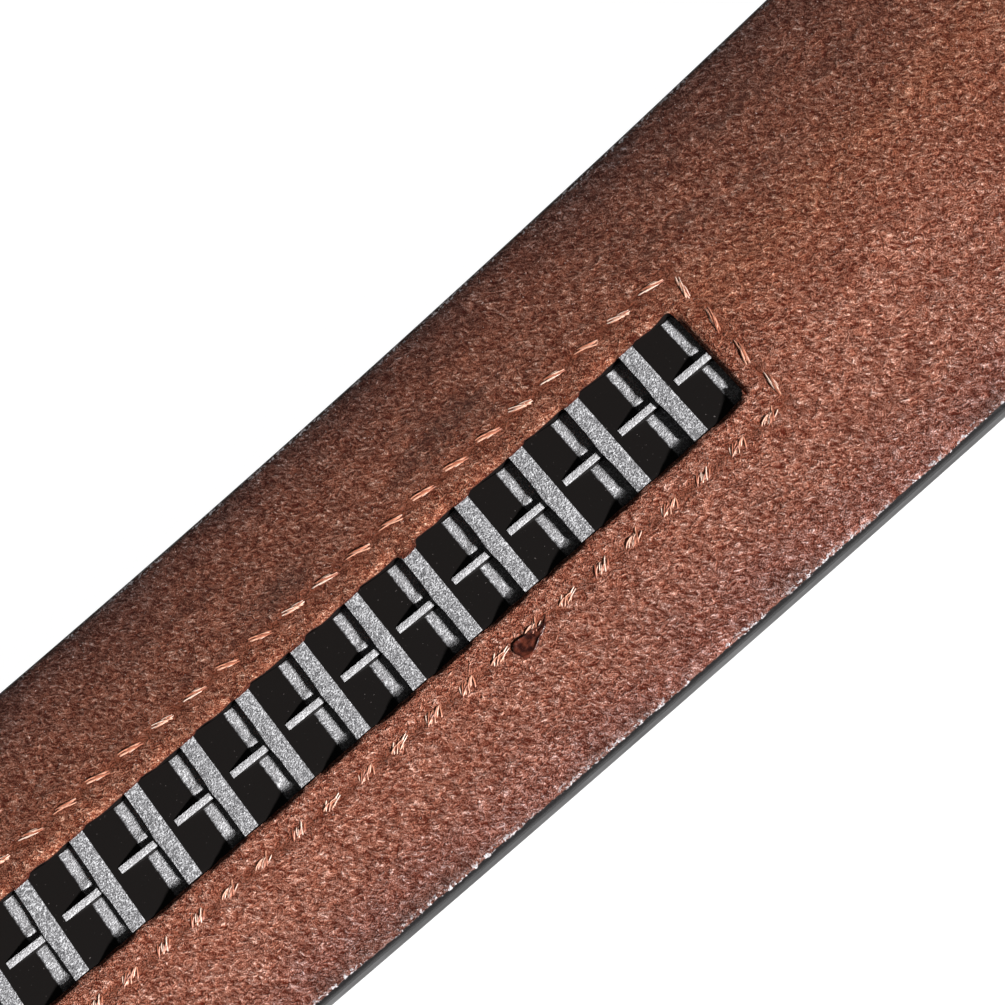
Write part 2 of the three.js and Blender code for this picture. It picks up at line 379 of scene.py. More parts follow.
def back_leather():
    rng = np.random.default_rng(BACK_SEED)
    lengths = steps(
        0.0,
        (LEAD_LENGTH + 2 * droop_length, COARSE_STEP),
        (window_start - SEAM_ZONE, COARSE_STEP),
        (window_start, FINE_STEP),
        (window_start + WINDOW_CORNER, CORNER_STEP),
        (open_end - WINDOW_CORNER, FINE_STEP),
        (open_end, CORNER_STEP),
        (open_end + 2 * DROOP_REACH, CORNER_STEP),
        (window_end + SEAM_ZONE, FINE_STEP),
        (tip_start, COARSE_STEP / 2),
    )
    along, across, face_along, face_across = strap_outline(lengths)
    count = len(along)
    inner_along = along - EDGE_ROUND * face_along
    inner_across = np.maximum(across - EDGE_ROUND * face_across, 0)
    squeeze = inner_across / (half_width - EDGE_ROUND)

    # Stations across one side, as distances from the window's edge
    offsets = steps(0.0, *EDGE_STATIONS, (half_width - EDGE_ROUND - WINDOW_HALF, FLAT_STEP))
    middle = np.linspace(-1, 1, MIDDLE_COLUMNS + 1)[1:-1]
    edge = window_edge(along)
    inside = (along >= window_start - 1e-9) & (along <= open_end + 1e-9)
    upper_ragged = wander(rng, along, *UPPER_RAGGED)
    upper_edge = np.where(inside, edge + (UPPER_EDGE - WINDOW_HALF) + upper_ragged, edge)
    valley = 1 - crest_shares(along, *VALLEY_EASE)[1]
    inward = WINDOW_HALF - LOWER_EDGE + LOWER_EDGE_INWARD * valley
    lower_edge = np.where(inside, edge - inward + wander(rng, along, *LOWER_RAGGED), edge)
    fade = np.clip(1 - offsets / RAGGED_REACH, 0, 1)

    def side_stations(edges):
        return WINDOW_HALF + offsets[None, :] + (edges - WINDOW_HALF)[:, None] * fade[None, :]

    insets, heights = edge_levels(STRAP_THICKNESS)
    plus = side_stations(upper_edge) * squeeze[:, None]
    minus = side_stations(lower_edge) * squeeze[:, None]
    near_side = np.where(middle > 0, upper_edge[:, None], lower_edge[:, None])
    mid = near_side * middle[None, :] * squeeze[:, None]
    ring_across = np.maximum(across[:, None] - insets[None, 1:] * face_across[:, None], 0)
    ring_along = along[:, None] - insets[None, 1:] * face_along[:, None]
    c = np.concatenate([-ring_across[:, ::-1], -minus[:, ::-1], mid, plus, ring_across], axis=1)
    inner = np.repeat(inner_along[:, None], c.shape[1] - 2 * ROUND_COLUMNS, axis=1)
    a = np.concatenate([ring_along[:, ::-1], inner, ring_along], axis=1)
    ring_height = np.repeat(heights[None, 1:], count, axis=0)
    flat = np.full(inner.shape, STRAP_THICKNESS)
    h = np.concatenate([ring_height[:, ::-1], flat, ring_height], axis=1)

    # Relief of the back: the window's edges sink, and the stitches pull the nap down
    first = ROUND_COLUMNS + len(offsets) - 1
    last = first + len(middle) + 1
    seam, hole = seam_marks(a, c)
    near_lower = sag_shares(-c - lower_edge[:, None]) * (c < 0)
    near_upper = sag_shares(c - upper_edge[:, None]) * (c > 0)
    near_end = sag_shares(a - open_end) * (a > open_end - 1e-9)
    near_end *= 1 - ease(np.abs(c), *END_DROOP_SIDES)
    past, before = DROOP_ENDS
    along_window = ease(a, window_start - past, window_start + before)
    along_window *= 1 - ease(a, open_end - before, open_end + past)
    droop = (CREST_DROOP + VALLEY_DROOP * valley)[:, None] * near_lower * along_window
    droop += UPPER_DROOP * valley[:, None] * near_upper * along_window + END_DROOP * near_end
    flat_part = ease(half_width * squeeze[:, None] - np.abs(c), EDGE_ROUND, 4 * EDGE_ROUND)
    waves = wander(rng, along, WAVE_SPACING, WAVE_HEIGHT)[:, None] * np.sin(c * WAVE_RATE + WAVE_PHASE)
    h = h - droop - SEAM_DEPTH * seam - HOLE_DEPTH * hole + waves * flat_part
    rim = np.concatenate([insets[:0:-1], np.zeros(inner.shape[1]), insets[1:]])
    column = np.arange(c.shape[1])
    at_rim = (column < ROUND_COLUMNS) | (column >= c.shape[1] - ROUND_COLUMNS)
    to_rim = EDGE_ROUND + np.clip(inner_across[:, None] - np.abs(c), 0, None)
    edge_gap = np.where(at_rim[None, :], rim[None, :], to_rim)

    # The back is one grid. Its marks say how near each point is to a cut, the edge and the seam
    points = [lay(a, c, h).reshape(-1, 3)]
    cut = [np.zeros(a.size)]
    gap = [edge_gap.reshape(-1)]
    seam_values = [seam.reshape(-1)]
    hole_values = [hole.reshape(-1)]
    columns = c.shape[1]
    faces = []

    def number(i, j):
        return i * columns + j

    for i in range(count - 1):
        open_here = inside[i] and inside[i + 1]
        for j in range(columns - 1):
            if open_here and first <= j < last:
                continue
            faces.append((number(i, j), number(i + 1, j), number(i + 1, j + 1), number(i, j + 1)))

    def add(rows_along, rows_across, rows_height, cut_value, gap_value):
        start = sum(len(p) for p in points)
        points.append(lay(rows_along, rows_across, rows_height))
        cut.append(np.full(len(rows_along), cut_value))
        gap.append(np.full(len(rows_along), gap_value))
        seam_values.append(np.zeros(len(rows_along)))
        hole_values.append(np.zeros(len(rows_along)))
        return start

    level = np.full(count, LAYER_SEAM)
    outer_low = add(along, -across, level, 0.0, 0.0)
    outer_high = add(along, across, level, 0.0, 0.0)
    foot_low = add(inner_along, -lower_edge * squeeze, level, 1.0, FAR_FROM_EDGE)
    foot_high = add(inner_along, upper_edge * squeeze, level, 1.0, FAR_FROM_EDGE)
    tabs = tab_shares(along, rng)
    lap = upper_edge + (TAB_REACH - upper_edge) * tabs
    walls = {first: [], last: []}
    top_low, top_high = h[:, first], h[:, last]
    lip = np.minimum(TAB_LEVEL + LIP_SHIFT * (1 - np.minimum(tabs, 1)), top_high - LIP_DROP)
    wall_low = -lower_edge + LIP_INWARD
    for row in range(WALL_ROWS):
        drop = row / WALL_ROWS
        cut_value = 1.0 if row else 0.5
        low_height = top_low + (level - top_low) * drop if row else top_low - LIP_DROP
        high_height = lip + (level - lip) * drop
        wall_high = lap + LIP_SHIFT * row * tabs
        walls[first].append(add(inner_along, wall_low, low_height, cut_value, FAR_FROM_EDGE))
        walls[last].append(add(inner_along, wall_high, high_height, cut_value, FAR_FROM_EDGE))

    # Sides, underside and the window's walls
    for i in range(count - 1):
        faces.append((number(i, 0), number(i + 1, 0), outer_low + i + 1, outer_low + i))
        rim_now, rim_next = number(i, columns - 1), number(i + 1, columns - 1)
        faces.append((rim_now, rim_next, outer_high + i + 1, outer_high + i))
        faces.append((outer_low + i, outer_low + i + 1, foot_low + i + 1, foot_low + i))
        faces.append((outer_high + i, outer_high + i + 1, foot_high + i + 1, foot_high + i))
        if inside[i] and inside[i + 1]:
            for station, foot in ((first, foot_low), (last, foot_high)):
                rows = [(number(i, station), number(i + 1, station))]
                rows += [(start + i, start + i + 1) for start in walls[station]]
                rows.append((foot + i, foot + i + 1))
                for (p, q), (r, s) in zip(rows, rows[1:]):
                    faces.append((p, q, s, r))
        else:
            faces.append((foot_low + i, foot_low + i + 1, foot_high + i + 1, foot_high + i))
    for i in (int(np.flatnonzero(inside)[0]), int(np.flatnonzero(inside)[-1])):
        ring = [number(i, j) for j in range(first, last + 1)]
        ring += [start + i for start in walls[last]] + [foot_high + i, foot_low + i]
        ring += [start + i for start in reversed(walls[first])]
        faces.append(tuple(ring))
    faces.append(tuple(number(0, j) for j in range(columns)) + (outer_high, foot_high, foot_low, outer_low))

    points = np.concatenate(points)
    used = np.zeros(len(points), bool)
    used[[v for f in faces for v in f]] = True
    renumber = np.cumsum(used) - 1
    marks = {
        "cut": np.concatenate(cut)[used],
        "edge_gap": np.concatenate(gap)[used],
        "seam": np.concatenate(seam_values)[used],
        "hole": np.concatenate(hole_values)[used],
    }
    faces = [tuple(int(renumber[v]) for v in f) for f in faces]
    return show("back_leather", mesh_of("back_leather", points[used], faces, marks))


# Outer leather, with the channel that takes the rack's flange
def outer_leather():
    channel_low = rack_start - FLANGE_END - CLEARANCE
    channel_high = rack_end + FLANGE_END + CLEARANCE
    lengths = steps(
        0.0,
        (channel_low, COARSE_STEP),
        (channel_high, COARSE_STEP),
        (tip_start, COARSE_STEP),
    )
    lengths = np.sort(np.concatenate([lengths, [channel_low, channel_high]]))
    along, across, face_along, face_across = strap_outline(lengths)
    low_at = np.flatnonzero(np.isclose(along, channel_low))[1]
    high_at = np.flatnonzero(np.isclose(along, channel_high))[0]
    number = np.arange(len(along))
    in_channel = (number >= low_at) & (number <= high_at)
    floor = np.where(in_channel, FLANGE_TOP - FLANGE_THICKNESS - CLEARANCE, LAYER_SEAM)
    side = FLANGE_HALF + CLEARANCE
    insets, heights = edge_levels(0.0)
    loops = []
    gaps = []
    for i in range(len(along)):
        inner = max(across[i] - EDGE_ROUND * face_across[i], 0.0)
        inner_along = along[i] - EDGE_ROUND * face_along[i]
        loop = [(inner_along, inner * share, 0.0, EDGE_ROUND + inner * (1 - abs(share)))
                for share in np.linspace(-1, 1, 9)[1:-1]]
        rim = [(along[i] - inset * face_along[i], max(across[i] - inset * face_across[i], 0), height, inset)
               for inset, height in zip(insets, heights)]
        loop += rim
        loop.append((along[i], across[i], LAYER_SEAM, 0.0))
        trough = min(side, inner)
        loop += [
            (inner_along, trough, LAYER_SEAM, FAR_FROM_EDGE),
            (inner_along, trough, floor[i], FAR_FROM_EDGE),
            (inner_along, -trough, floor[i], FAR_FROM_EDGE),
            (inner_along, -trough, LAYER_SEAM, FAR_FROM_EDGE),
            (along[i], -across[i], LAYER_SEAM, 0.0),
        ]
        loop += [(place, -side_place, height, inset) for place, side_place, height, inset in rim[::-1]]
        loop = np.array(loop)
        loops.append(lay(loop[:, 0], loop[:, 1], loop[:, 2]))
        gaps.append(loop[:, 3])
    points, faces = loft(np.array(loops))
    marks = {"edge_gap": np.concatenate(gaps)}
    return show("outer_leather", mesh_of("outer_leather", points, faces, marks))


# Rack: one tooth is drawn in detail, and a tree repeats it along the strap's line
TOOTH_COLUMNS = 36
TOOTH_FOOT = 0.0002
WALL_STEP = 0.0005
RAMP_SHARES = (0.3, 0.6, 0.85)
VALLEY_FILLET = 0.0004
FILLET_STEPS = 6
FILLET_SAND = (0.25, 0.85)
VALLEY_MIDDLE = 0.0010
VALLEY_START = (-0.0002, 0.0004)
VALLEY_CROWN = 0.00013
VALLEY_ENDS = (-0.0039, 0.00125)
VALLEY_END_RISE = 0.0003
VALLEY_END_SPREAD = 0.00035
VALLEY_END_DROP = 0.0004
VALLEY_END_SIDES = (0.0043, 0.0047)
CREST_BULGE = 0.00012
CREST_BULGE_HALF = 0.0011
SOFT_EDGE = 0.00005
# Sand marks above 1 paint the fins, and less so the valley strips, lighter: painted highlight.
FIN_SAND = 1.6
FIN_SOFT = 0.6 * SOFT_EDGE
FIN_END_GAP = 0.0001
VALLEY_SAND = 1.35


def tooth_profile():
    """Length, height and sand cover of points over one tooth, from its wall to the next wall."""
    foot = CREST_LENGTH + RAMP_LENGTH
    slope = (CREST_LEVEL - VALLEY_LEVEL) / RAMP_LENGTH
    profile = [
        (0.0, VALLEY_LEVEL - TOOTH_FOOT, 0.0),
        (0.0, CREST_LEVEL - 0.3 * SOFT_EDGE - WALL_STEP, 0.0),
        (0.0, CREST_LEVEL - SOFT_EDGE, 0.0),
        (0.3 * SOFT_EDGE, CREST_LEVEL - 0.3 * SOFT_EDGE, 0.8),
        (SOFT_EDGE, CREST_LEVEL, 1.0),
        (CREST_LENGTH / 2, CREST_LEVEL, 1.0),
        (CREST_LENGTH - SOFT_EDGE, CREST_LEVEL, 1.0),
        (CREST_LENGTH, CREST_LEVEL - 0.3 * SOFT_EDGE, 0.8),
        (CREST_LENGTH + SOFT_EDGE, CREST_LEVEL - SOFT_EDGE * slope - 0.2 * SOFT_EDGE, 0.0),
    ]
    fillet = VALLEY_FILLET
    for share in RAMP_SHARES:
        place = CREST_LENGTH + (RAMP_LENGTH - fillet) * share
        profile.append((place, CREST_LEVEL - (place - CREST_LENGTH) * slope, 0.0))
    for k in range(FILLET_STEPS + 1):
        share = k / FILLET_STEPS
        place = foot - fillet + 2 * fillet * share
        height = VALLEY_LEVEL + slope * fillet * (1 - share) ** 2
        profile.append((place, height, VALLEY_SAND * float(ease(share, *FILLET_SAND))))
    profile.append((foot + VALLEY_MIDDLE, VALLEY_LEVEL, VALLEY_SAND))
    profile.append((TOOTH_PITCH, VALLEY_LEVEL, VALLEY_SAND))
    return np.array(profile)


def tooth():
    """One tooth with its stretch of valley and its fin, round the middle of its pitch."""
    profile = tooth_profile()
    stations = np.concatenate([
        [-TOOTH_HALF],
        np.linspace(SOFT_EDGE - TOOTH_HALF, TOOTH_UPPER - SOFT_EDGE, TOOTH_COLUMNS + 1),
        [TOOTH_UPPER],
    ])
    place, height, sand = (np.repeat(profile[:, k][:, None], len(stations), axis=1) for k in range(3))
    height[:, [0, -1]] -= SOFT_EDGE * sand[:, [0, -1]]
    sand[:, [0, -1]] = 0
    side = np.repeat(stations[None, :], len(profile), axis=0)
    bulge = np.exp(-((side / CREST_BULGE_HALF) ** 2)) * CREST_BULGE
    wall = profile[:, 0] < 2 * SOFT_EDGE
    place = place - bulge * wall[:, None]
    in_valley = ease(place - CREST_LENGTH - RAMP_LENGTH, *VALLEY_START)
    half = (np.abs(side) - FIN_HALF) / (TOOTH_HALF - FIN_HALF)
    half = np.clip(half, 0, 1)
    height = height + VALLEY_CROWN * in_valley * (4 * half * (1 - half) - 1)
    for end in VALLEY_ENDS:
        height += VALLEY_END_RISE * in_valley * np.exp(-(((side - end) / VALLEY_END_SPREAD) ** 2))
    height -= VALLEY_END_DROP * in_valley * ease(-side, *VALLEY_END_SIDES)
    columns = len(stations)
    rows = len(profile)
    top = np.stack([place - TOOTH_PITCH / 2, side, height], axis=-1).reshape(-1, 3)
    root = FLANGE_TOP - FLANGE_THICKNESS / 2
    under = np.array([
        (x - TOOTH_PITCH / 2, y, root) for x in (0.0, TOOTH_PITCH) for y in (-TOOTH_HALF, TOOTH_UPPER)
    ])
    faces = []
    for i in range(rows - 1):
        for j in range(columns - 1):
            k = i * columns + j
            faces.append((k, k + columns, k + columns + 1, k + 1))
    base = rows * columns
    low_side = tuple(i * columns for i in range(rows))
    high_side = tuple(i * columns + columns - 1 for i in range(rows))
    faces.append((base, base + 2) + low_side[::-1])
    faces.append((base + 1, base + 3) + high_side[::-1])
    faces.append((base, base + 1) + tuple(range(columns - 1, -1, -1)))
    faces.append((base + 2, base + 3) + tuple(range(base - 1, base - columns - 1, -1)))
    faces.append((base, base + 1, base + 3, base + 2))
    points = np.concatenate([top, under])
    cover = np.concatenate([sand.reshape(-1), np.zeros(4)])
    fin_points, fin_faces, fin_cover = fin()
    faces += [tuple(v + len(points) for v in f) for f in fin_faces]
    points = np.concatenate([points, fin_points])
    cover = np.concatenate([cover, fin_cover])
    return mesh_of("tooth", points, faces, {"sand": cover}, sharp=32)


def fin():
    """The fin in the middle of a tooth, with softened top edges."""
    start = CREST_LENGTH + FIN_SETBACK - TOOTH_PITCH / 2
    end = TOOTH_PITCH / 2 - FIN_END_GAP
    soft = FIN_SOFT
    slope = (FIN_END_DROP - FIN_START_DROP) / (end - start)
    sections = [
        (start, 2.5 * soft),
        (start + soft, 0.4 * soft),
        (start + 3 * soft, 0.0),
        (0.0, 0.0),
        (end, 0.0),
    ]
    loops = []
    covers = []
    for x, sunk in sections:
        peak = CREST_LEVEL - FIN_START_DROP - slope * (x - start) - sunk
        half = FIN_HALF - (0.6 * soft if x == start else 0.0)
        rising = [
            (half, VALLEY_LEVEL - TOOTH_FOOT),
            (half, peak - soft),
            (half - 0.3 * soft, peak - 0.3 * soft),
            (half - soft, peak),
        ]
        loops.append([(x, -y, z) for y, z in rising] + [(x, y, z) for y, z in rising[::-1]])
        covers += [0.0, 0.0, FIN_SAND, FIN_SAND, FIN_SAND, FIN_SAND, 0.0, 0.0]
    points, faces = loft(np.array(loops))
    return points, faces, np.array(covers)


def flange():
    """The rack's flange, which lies between the two leathers."""
    lengths = steps(rack_start - FLANGE_END, (rack_end + FLANGE_END, COARSE_STEP))
    corners = [
        (-FLANGE_HALF, FLANGE_TOP - FLANGE_THICKNESS),
        (FLANGE_HALF, FLANGE_TOP - FLANGE_THICKNESS),
        (FLANGE_HALF, FLANGE_TOP),
        (-FLANGE_HALF, FLANGE_TOP),
    ]
    loops = np.array([
        [lay(np.array(a), np.array(c), np.array(h)) for c, h in corners] for a in lengths
    ])
    points, faces = loft(loops)
    return mesh_of("flange", points, faces, {"sand": np.zeros(len(points))})


# Trees of geometry nodes
def feed(tree, node, inputs):
    """Gives a node its inputs. An input is a value, or a socket to link from."""
    for key, value in inputs.items():
        socket = node.inputs[key]
        if isinstance(value, bpy.types.NodeSocket):
            tree.links.new(value, socket)
        else:
            socket.default_value = value


def add_node(tree, kind, inputs=None, **settings):
    """A node with its settings and inputs."""
    node = tree.nodes.new(kind)
    for label, value in settings.items():
        setattr(node, label, value)
    feed(tree, node, inputs or {})
    return node


def math_node(tree, operation, *values):
    return add_node(tree, "ShaderNodeMath", dict(enumerate(values)), operation=operation).outputs[0]


def new_tree(name, inputs):
    """A tree with a geometry going in and out, and named inputs for the rest."""
    tree = bpy.data.node_groups.new(name, "GeometryNodeTree")
    tree.interface.new_socket("Geometry", in_out="INPUT", socket_type="NodeSocketGeometry")
    for label, kind in inputs:
        tree.interface.new_socket(label, in_out="INPUT", socket_type="NodeSocket" + kind)
    tree.interface.new_socket("Geometry", in_out="OUTPUT", socket_type="NodeSocketGeometry")
    return tree, tree.nodes.new("NodeGroupInput"), tree.nodes.new("NodeGroupOutput")


def grown(carrier, tree, values, name):
    """The plain mesh that a tree makes on a carrier object, which is then removed."""
    modifier = carrier.modifiers.new(tree.name, "NODES")
    modifier.node_group = tree
    identifiers = {s.name: s.identifier for s in tree.interface.items_tree if s.in_out == "INPUT"}
    for label, value in values.items():
        modifier[identifiers[label]] = value
    seen = carrier.evaluated_get(bpy.context.evaluated_depsgraph_get())
    mesh = bpy.data.meshes.new_from_object(seen)
    mesh.name = name
    bpy.data.objects.remove(carrier)
    return mesh


def finish_tree(tree, instances, material, output):
    """The tree's last steps: instances made real, with their material."""
    realize = add_node(tree, "GeometryNodeRealizeInstances", {"Geometry": instances})
    paint = add_node(
        tree, "GeometryNodeSetMaterial",
        {"Geometry": realize.outputs["Geometry"], "Material": material},
    )
    tree.links.new(paint.outputs["Geometry"], output.inputs["Geometry"])


def teeth_tree():
    """Puts a tooth at each pitch of the line that goes in, turned along it."""
    tree, source, output = new_tree("teeth along the line", [
        ("Tooth", "Object"), ("First", "Float"), ("Pitch", "Float"), ("Count", "Int"),
        ("Finish", "Material"),
    ])
    given = source.outputs
    begin = math_node(tree, "MULTIPLY_ADD", given["Pitch"], 0.5, given["First"])
    gaps = math_node(tree, "SUBTRACT", given["Count"], 1.0)
    end = math_node(tree, "MULTIPLY_ADD", gaps, given["Pitch"], begin)
    cut = add_node(
        tree, "GeometryNodeTrimCurve", {"Curve": given["Geometry"], 4: begin, 5: end}, mode="LENGTH",
    )
    spread = add_node(
        tree, "GeometryNodeResampleCurve",
        {"Curve": cut.outputs["Curve"], "Count": given["Count"]}, mode="COUNT",
    )
    tangent = add_node(tree, "GeometryNodeInputTangent")
    turn = add_node(
        tree, "FunctionNodeAlignRotationToVector", {"Vector": tangent.outputs[0]}, axis="X",
    )
    shape = add_node(tree, "GeometryNodeObjectInfo", {"Object": given["Tooth"]})
    placed = add_node(tree, "GeometryNodeInstanceOnPoints", {
        "Points": spread.outputs["Curve"],
        "Instance": shape.outputs["Geometry"],
        "Rotation": turn.outputs["Rotation"],
    })
    finish_tree(tree, placed.outputs["Instances"], given["Finish"], output)
    return tree


LINE_STEP = 0.0005


def strap_line():
    """The strap's line as a curve that a tree can follow."""
    curve = bpy.data.curves.new("strap_line", "CURVE")
    curve.dimensions = "3D"
    lengths = np.arange(0.0, STRAP_LENGTH, LINE_STEP)
    places = lay(lengths, 0.0, np.zeros_like(lengths))
    spline = curve.splines.new("POLY")
    spline.points.add(len(places) - 1)
    spline.points.foreach_set("co", np.hstack([places, np.ones((len(places), 1))]).ravel())
    return show("strap_line", curve)


def rack(finish):
    template = show("tooth_template", tooth())
    teeth = grown(strap_line(), teeth_tree(), {
        "Tooth": template, "First": rack_start, "Pitch": TOOTH_PITCH, "Count": TOOTH_COUNT,
        "Finish": finish,
    }, "rack")
    body = bmesh.new()
    body.from_mesh(teeth)
    body.from_mesh(flange())
    body.to_mesh(teeth)
    body.free()
    bpy.data.objects.remove(template)
    return show("rack", teeth)


# Stitches: a bundle of fine strands each, whose ends dive towards the needle holes
STITCH_KINDS = 4
STITCH_SEED = 31
SLANT_SEED = 5
STRAND_SIDES = 4
STRAND_SECTIONS = 6
BUNDLE_FLATNESS = 0.28
UNEVEN_RISE = 0.00005
UNEVEN_PHASE = 0.4

# Shares of a stitch's length, bundle and thickness that its strands have, and their twist
LENGTH_SHARES = (0.6, 1.1)
BUNDLE_SHARES = (0.3, 1.1)
THICKNESS_SHARES = (0.75, 1.25)
TWISTS = (1.2, 2.6)


def strand(length, bundle, twist, phase, rise, dive, radius, angle, shift):
    """One strand of a stitch: it winds round its own arched line, which lies at an angle."""
    cosine, sine = math.cos(angle), math.sin(angle)
    loops = []
    for share in np.linspace(0, 1, STRAND_SECTIONS + 1):
        around = phase + twist * share
        run = length * (share - 0.5)
        side = bundle * math.cos(around)
        lift = rise - dive * abs(2 * share - 1) ** 3 + BUNDLE_FLATNESS * bundle * math.sin(around)
        loop = []
        for turn in np.linspace(0, 2 * math.pi, STRAND_SIDES + 1)[:-1]:
            off = side + radius * math.cos(turn)
            loop.append((
                shift + run * cosine - off * sine,
                run * sine + off * cosine,
                lift + radius * math.sin(turn),
            ))
        loops.append(loop)
    return loft(np.array(loops))


def stitch_template(name, seed, strands, length, spread, bundle, rise, dive, angle, fray):
    """One stitch: strands of uneven length and thickness, spread along the seam and frayed."""
    rng = np.random.default_rng(seed)
    points, faces, shades = [], [], []
    for k in range(strands):
        some_points, some_faces = strand(
            length * rng.uniform(*LENGTH_SHARES),
            bundle * rng.uniform(*BUNDLE_SHARES),
            rng.uniform(*TWISTS),
            2 * math.pi * k / strands + rng.uniform(-UNEVEN_PHASE, UNEVEN_PHASE),
            rise + rng.uniform(-1, 1) * UNEVEN_RISE,
            dive,
            STRAND_RADIUS * rng.uniform(*THICKNESS_SHARES),
            angle + rng.uniform(-1, 1) * fray,
            rng.uniform(-1, 1) * spread,
        )
        start = sum(len(p) for p in points)
        points.append(some_points)
        faces += [tuple(v + start for v in f) for f in some_faces]
        # A random tone per strand; the high tones come out pale in the thread's ramp, as painted
        # highlights.
        shades.append(np.full(len(some_points), rng.uniform(0, 1)))
    mesh = mesh_of(name, np.concatenate(points), faces, {"strand": np.concatenate(shades)}, sharp=80)
    return show(name, mesh)


def stitch_tree():
    """Puts one stitch of several on each edge, turned along it and slanted by chance."""
    tree, source, output = new_tree("stitches between holes", [
        ("Stitches", "Collection"), ("Slant", "Float"), ("Unevenness", "Float"), ("Seed", "Int"),
        ("Finish", "Material"),
    ])
    given = source.outputs
    ends = add_node(tree, "GeometryNodeInputMeshEdgeVertices")
    way = add_node(
        tree, "ShaderNodeVectorMath",
        {0: ends.outputs["Position 2"], 1: ends.outputs["Position 1"]}, operation="SUBTRACT",
    )
    kept = add_node(
        tree, "GeometryNodeCaptureAttribute", {"Geometry": given["Geometry"]}, domain="EDGE",
    )
    kept.capture_items.new("VECTOR", "Way")
    tree.links.new(way.outputs["Vector"], kept.inputs["Way"])
    places = add_node(
        tree, "GeometryNodeMeshToPoints", {"Mesh": kept.outputs["Geometry"]}, mode="EDGES",
    )
    ahead = add_node(
        tree, "FunctionNodeAlignRotationToVector", {"Vector": kept.outputs["Way"]}, axis="X",
    )
    upright = add_node(
        tree, "FunctionNodeAlignRotationToVector",
        {"Rotation": ahead.outputs["Rotation"], "Vector": (0.0, 0.0, 1.0)}, axis="Z", pivot_axis="X",
    )
    less = math_node(tree, "MULTIPLY", given["Unevenness"], -1.0)
    chance = add_node(tree, "FunctionNodeRandomValue", {
        2: less, 3: given["Unevenness"], "Seed": given["Seed"],
    }, data_type="FLOAT")
    angle = math_node(tree, "ADD", given["Slant"], chance.outputs[1])
    euler = add_node(tree, "ShaderNodeCombineXYZ", {"Z": angle})
    spin = add_node(tree, "FunctionNodeEulerToRotation", {0: euler.outputs[0]})
    turn = add_node(
        tree, "FunctionNodeRotateRotation",
        {"Rotation": upright.outputs["Rotation"], "Rotate By": spin.outputs[0]},
        rotation_space="LOCAL",
    )
    kinds = add_node(tree, "GeometryNodeCollectionInfo", {
        "Collection": given["Stitches"], "Separate Children": True, "Reset Children": True,
    })
    pick = add_node(tree, "FunctionNodeRandomValue", {
        4: 0, 5: STITCH_KINDS - 1, "Seed": given["Seed"],
    }, data_type="INT")
    placed = add_node(tree, "GeometryNodeInstanceOnPoints", {
        "Points": places.outputs["Points"],
        "Instance": kinds.outputs["Instances"],
        "Pick Instance": True,
        "Instance Index": pick.outputs[2],
        "Rotation": turn.outputs["Rotation"],
    })
    finish_tree(tree, placed.outputs["Instances"], given["Finish"], output)
    return tree


def stitch_kinds(label, **values):
    """A few stitches of one kind in a collection of their own."""
    group = bpy.data.collections.new(label)
    bpy.context.scene.collection.children.link(group)
    for k in range(STITCH_KINDS):
        piece = stitch_template(f"{label}_{k}", STITCH_SEED + k, **values)
        bpy.context.scene.collection.objects.unlink(piece)
        group.objects.link(piece)
    return group


def seam_edges(label, first, count):
    """Holes and the stitches between them, as vertices and edges on the leather."""
    numbers = [(first + k) % len(HOLES) for k in range(count + 1)]
    along, across = HOLES[numbers].T
    points = lay(along, across, np.full(len(along), STRAP_THICKNESS - SEAM_DEPTH))
    mesh = bpy.data.meshes.new(label)
    mesh.from_pydata([tuple(p) for p in points], [(k, k + 1) for k in range(count)], [])
    return show(label, mesh)


ROW_SLANT = -0.27
END_SLANT = -0.22
UNEVEN_SLANT = 0.09


def window_stitches(finish):
    tree = stitch_tree()
    tidy = stitch_kinds(
        "tidy_stitch", strands=14, length=0.0021, spread=0.0004, bundle=0.00021, rise=0.00009,
        dive=0.00026, angle=0.0, fray=0.09,
    )
    loose = stitch_kinds(
        "loose_stitch", strands=18, length=0.0013, spread=0.0006, bundle=0.00028, rise=0.00005,
        dive=0.00016, angle=0.85, fray=0.42,
    )
    runs = (
        (tidy, 0, ROW_STITCHES, ROW_SLANT),
        (tidy, ROW_STITCHES, END_STITCHES, END_SLANT),
        (loose, ROW_STITCHES + END_STITCHES, ROW_STITCHES, 0.0),
        (tidy, 2 * ROW_STITCHES + END_STITCHES, END_STITCHES, END_SLANT),
    )
    body = bmesh.new()
    for number, (kinds, first, count, slant) in enumerate(runs):
        mesh = grown(seam_edges(f"seam_{number}", first, count), tree, {
            "Stitches": kinds, "Slant": slant, "Unevenness": UNEVEN_SLANT, "Seed": SLANT_SEED + number,
            "Finish": finish,
        }, f"seam_{number}")
        body.from_mesh(mesh)
    mesh = bpy.data.meshes.new("window_stitches")
    body.to_mesh(mesh)
    body.free()
    mesh.materials.append(finish)
    for group in (tidy, loose):
        for piece in list(group.objects):
            bpy.data.objects.remove(piece)
        bpy.data.collections.remove(group)
    return show("window_stitches", mesh)


# Knot: the thread's end on the lower row, melted into a small leaf with a tail
KNOT_ALONG = window_end - 0.0267
KNOT_ACROSS = -0.0080
KNOT_HALF = (0.00165, 0.00074)
KNOT_TURN = 0.10
KNOT_SEED = 23
KNOT_SIDES = 36
KNOT_RINGS = (
    (0.96, -0.00012), (1.04, 0.00004), (1.02, 0.00016), (0.93, 0.00021), (0.82, 0.00015),
    (0.66, 0.00009), (0.4, 0.00010), (0.12, 0.00013),
)
KNOT_RIPPLE = 0.00001

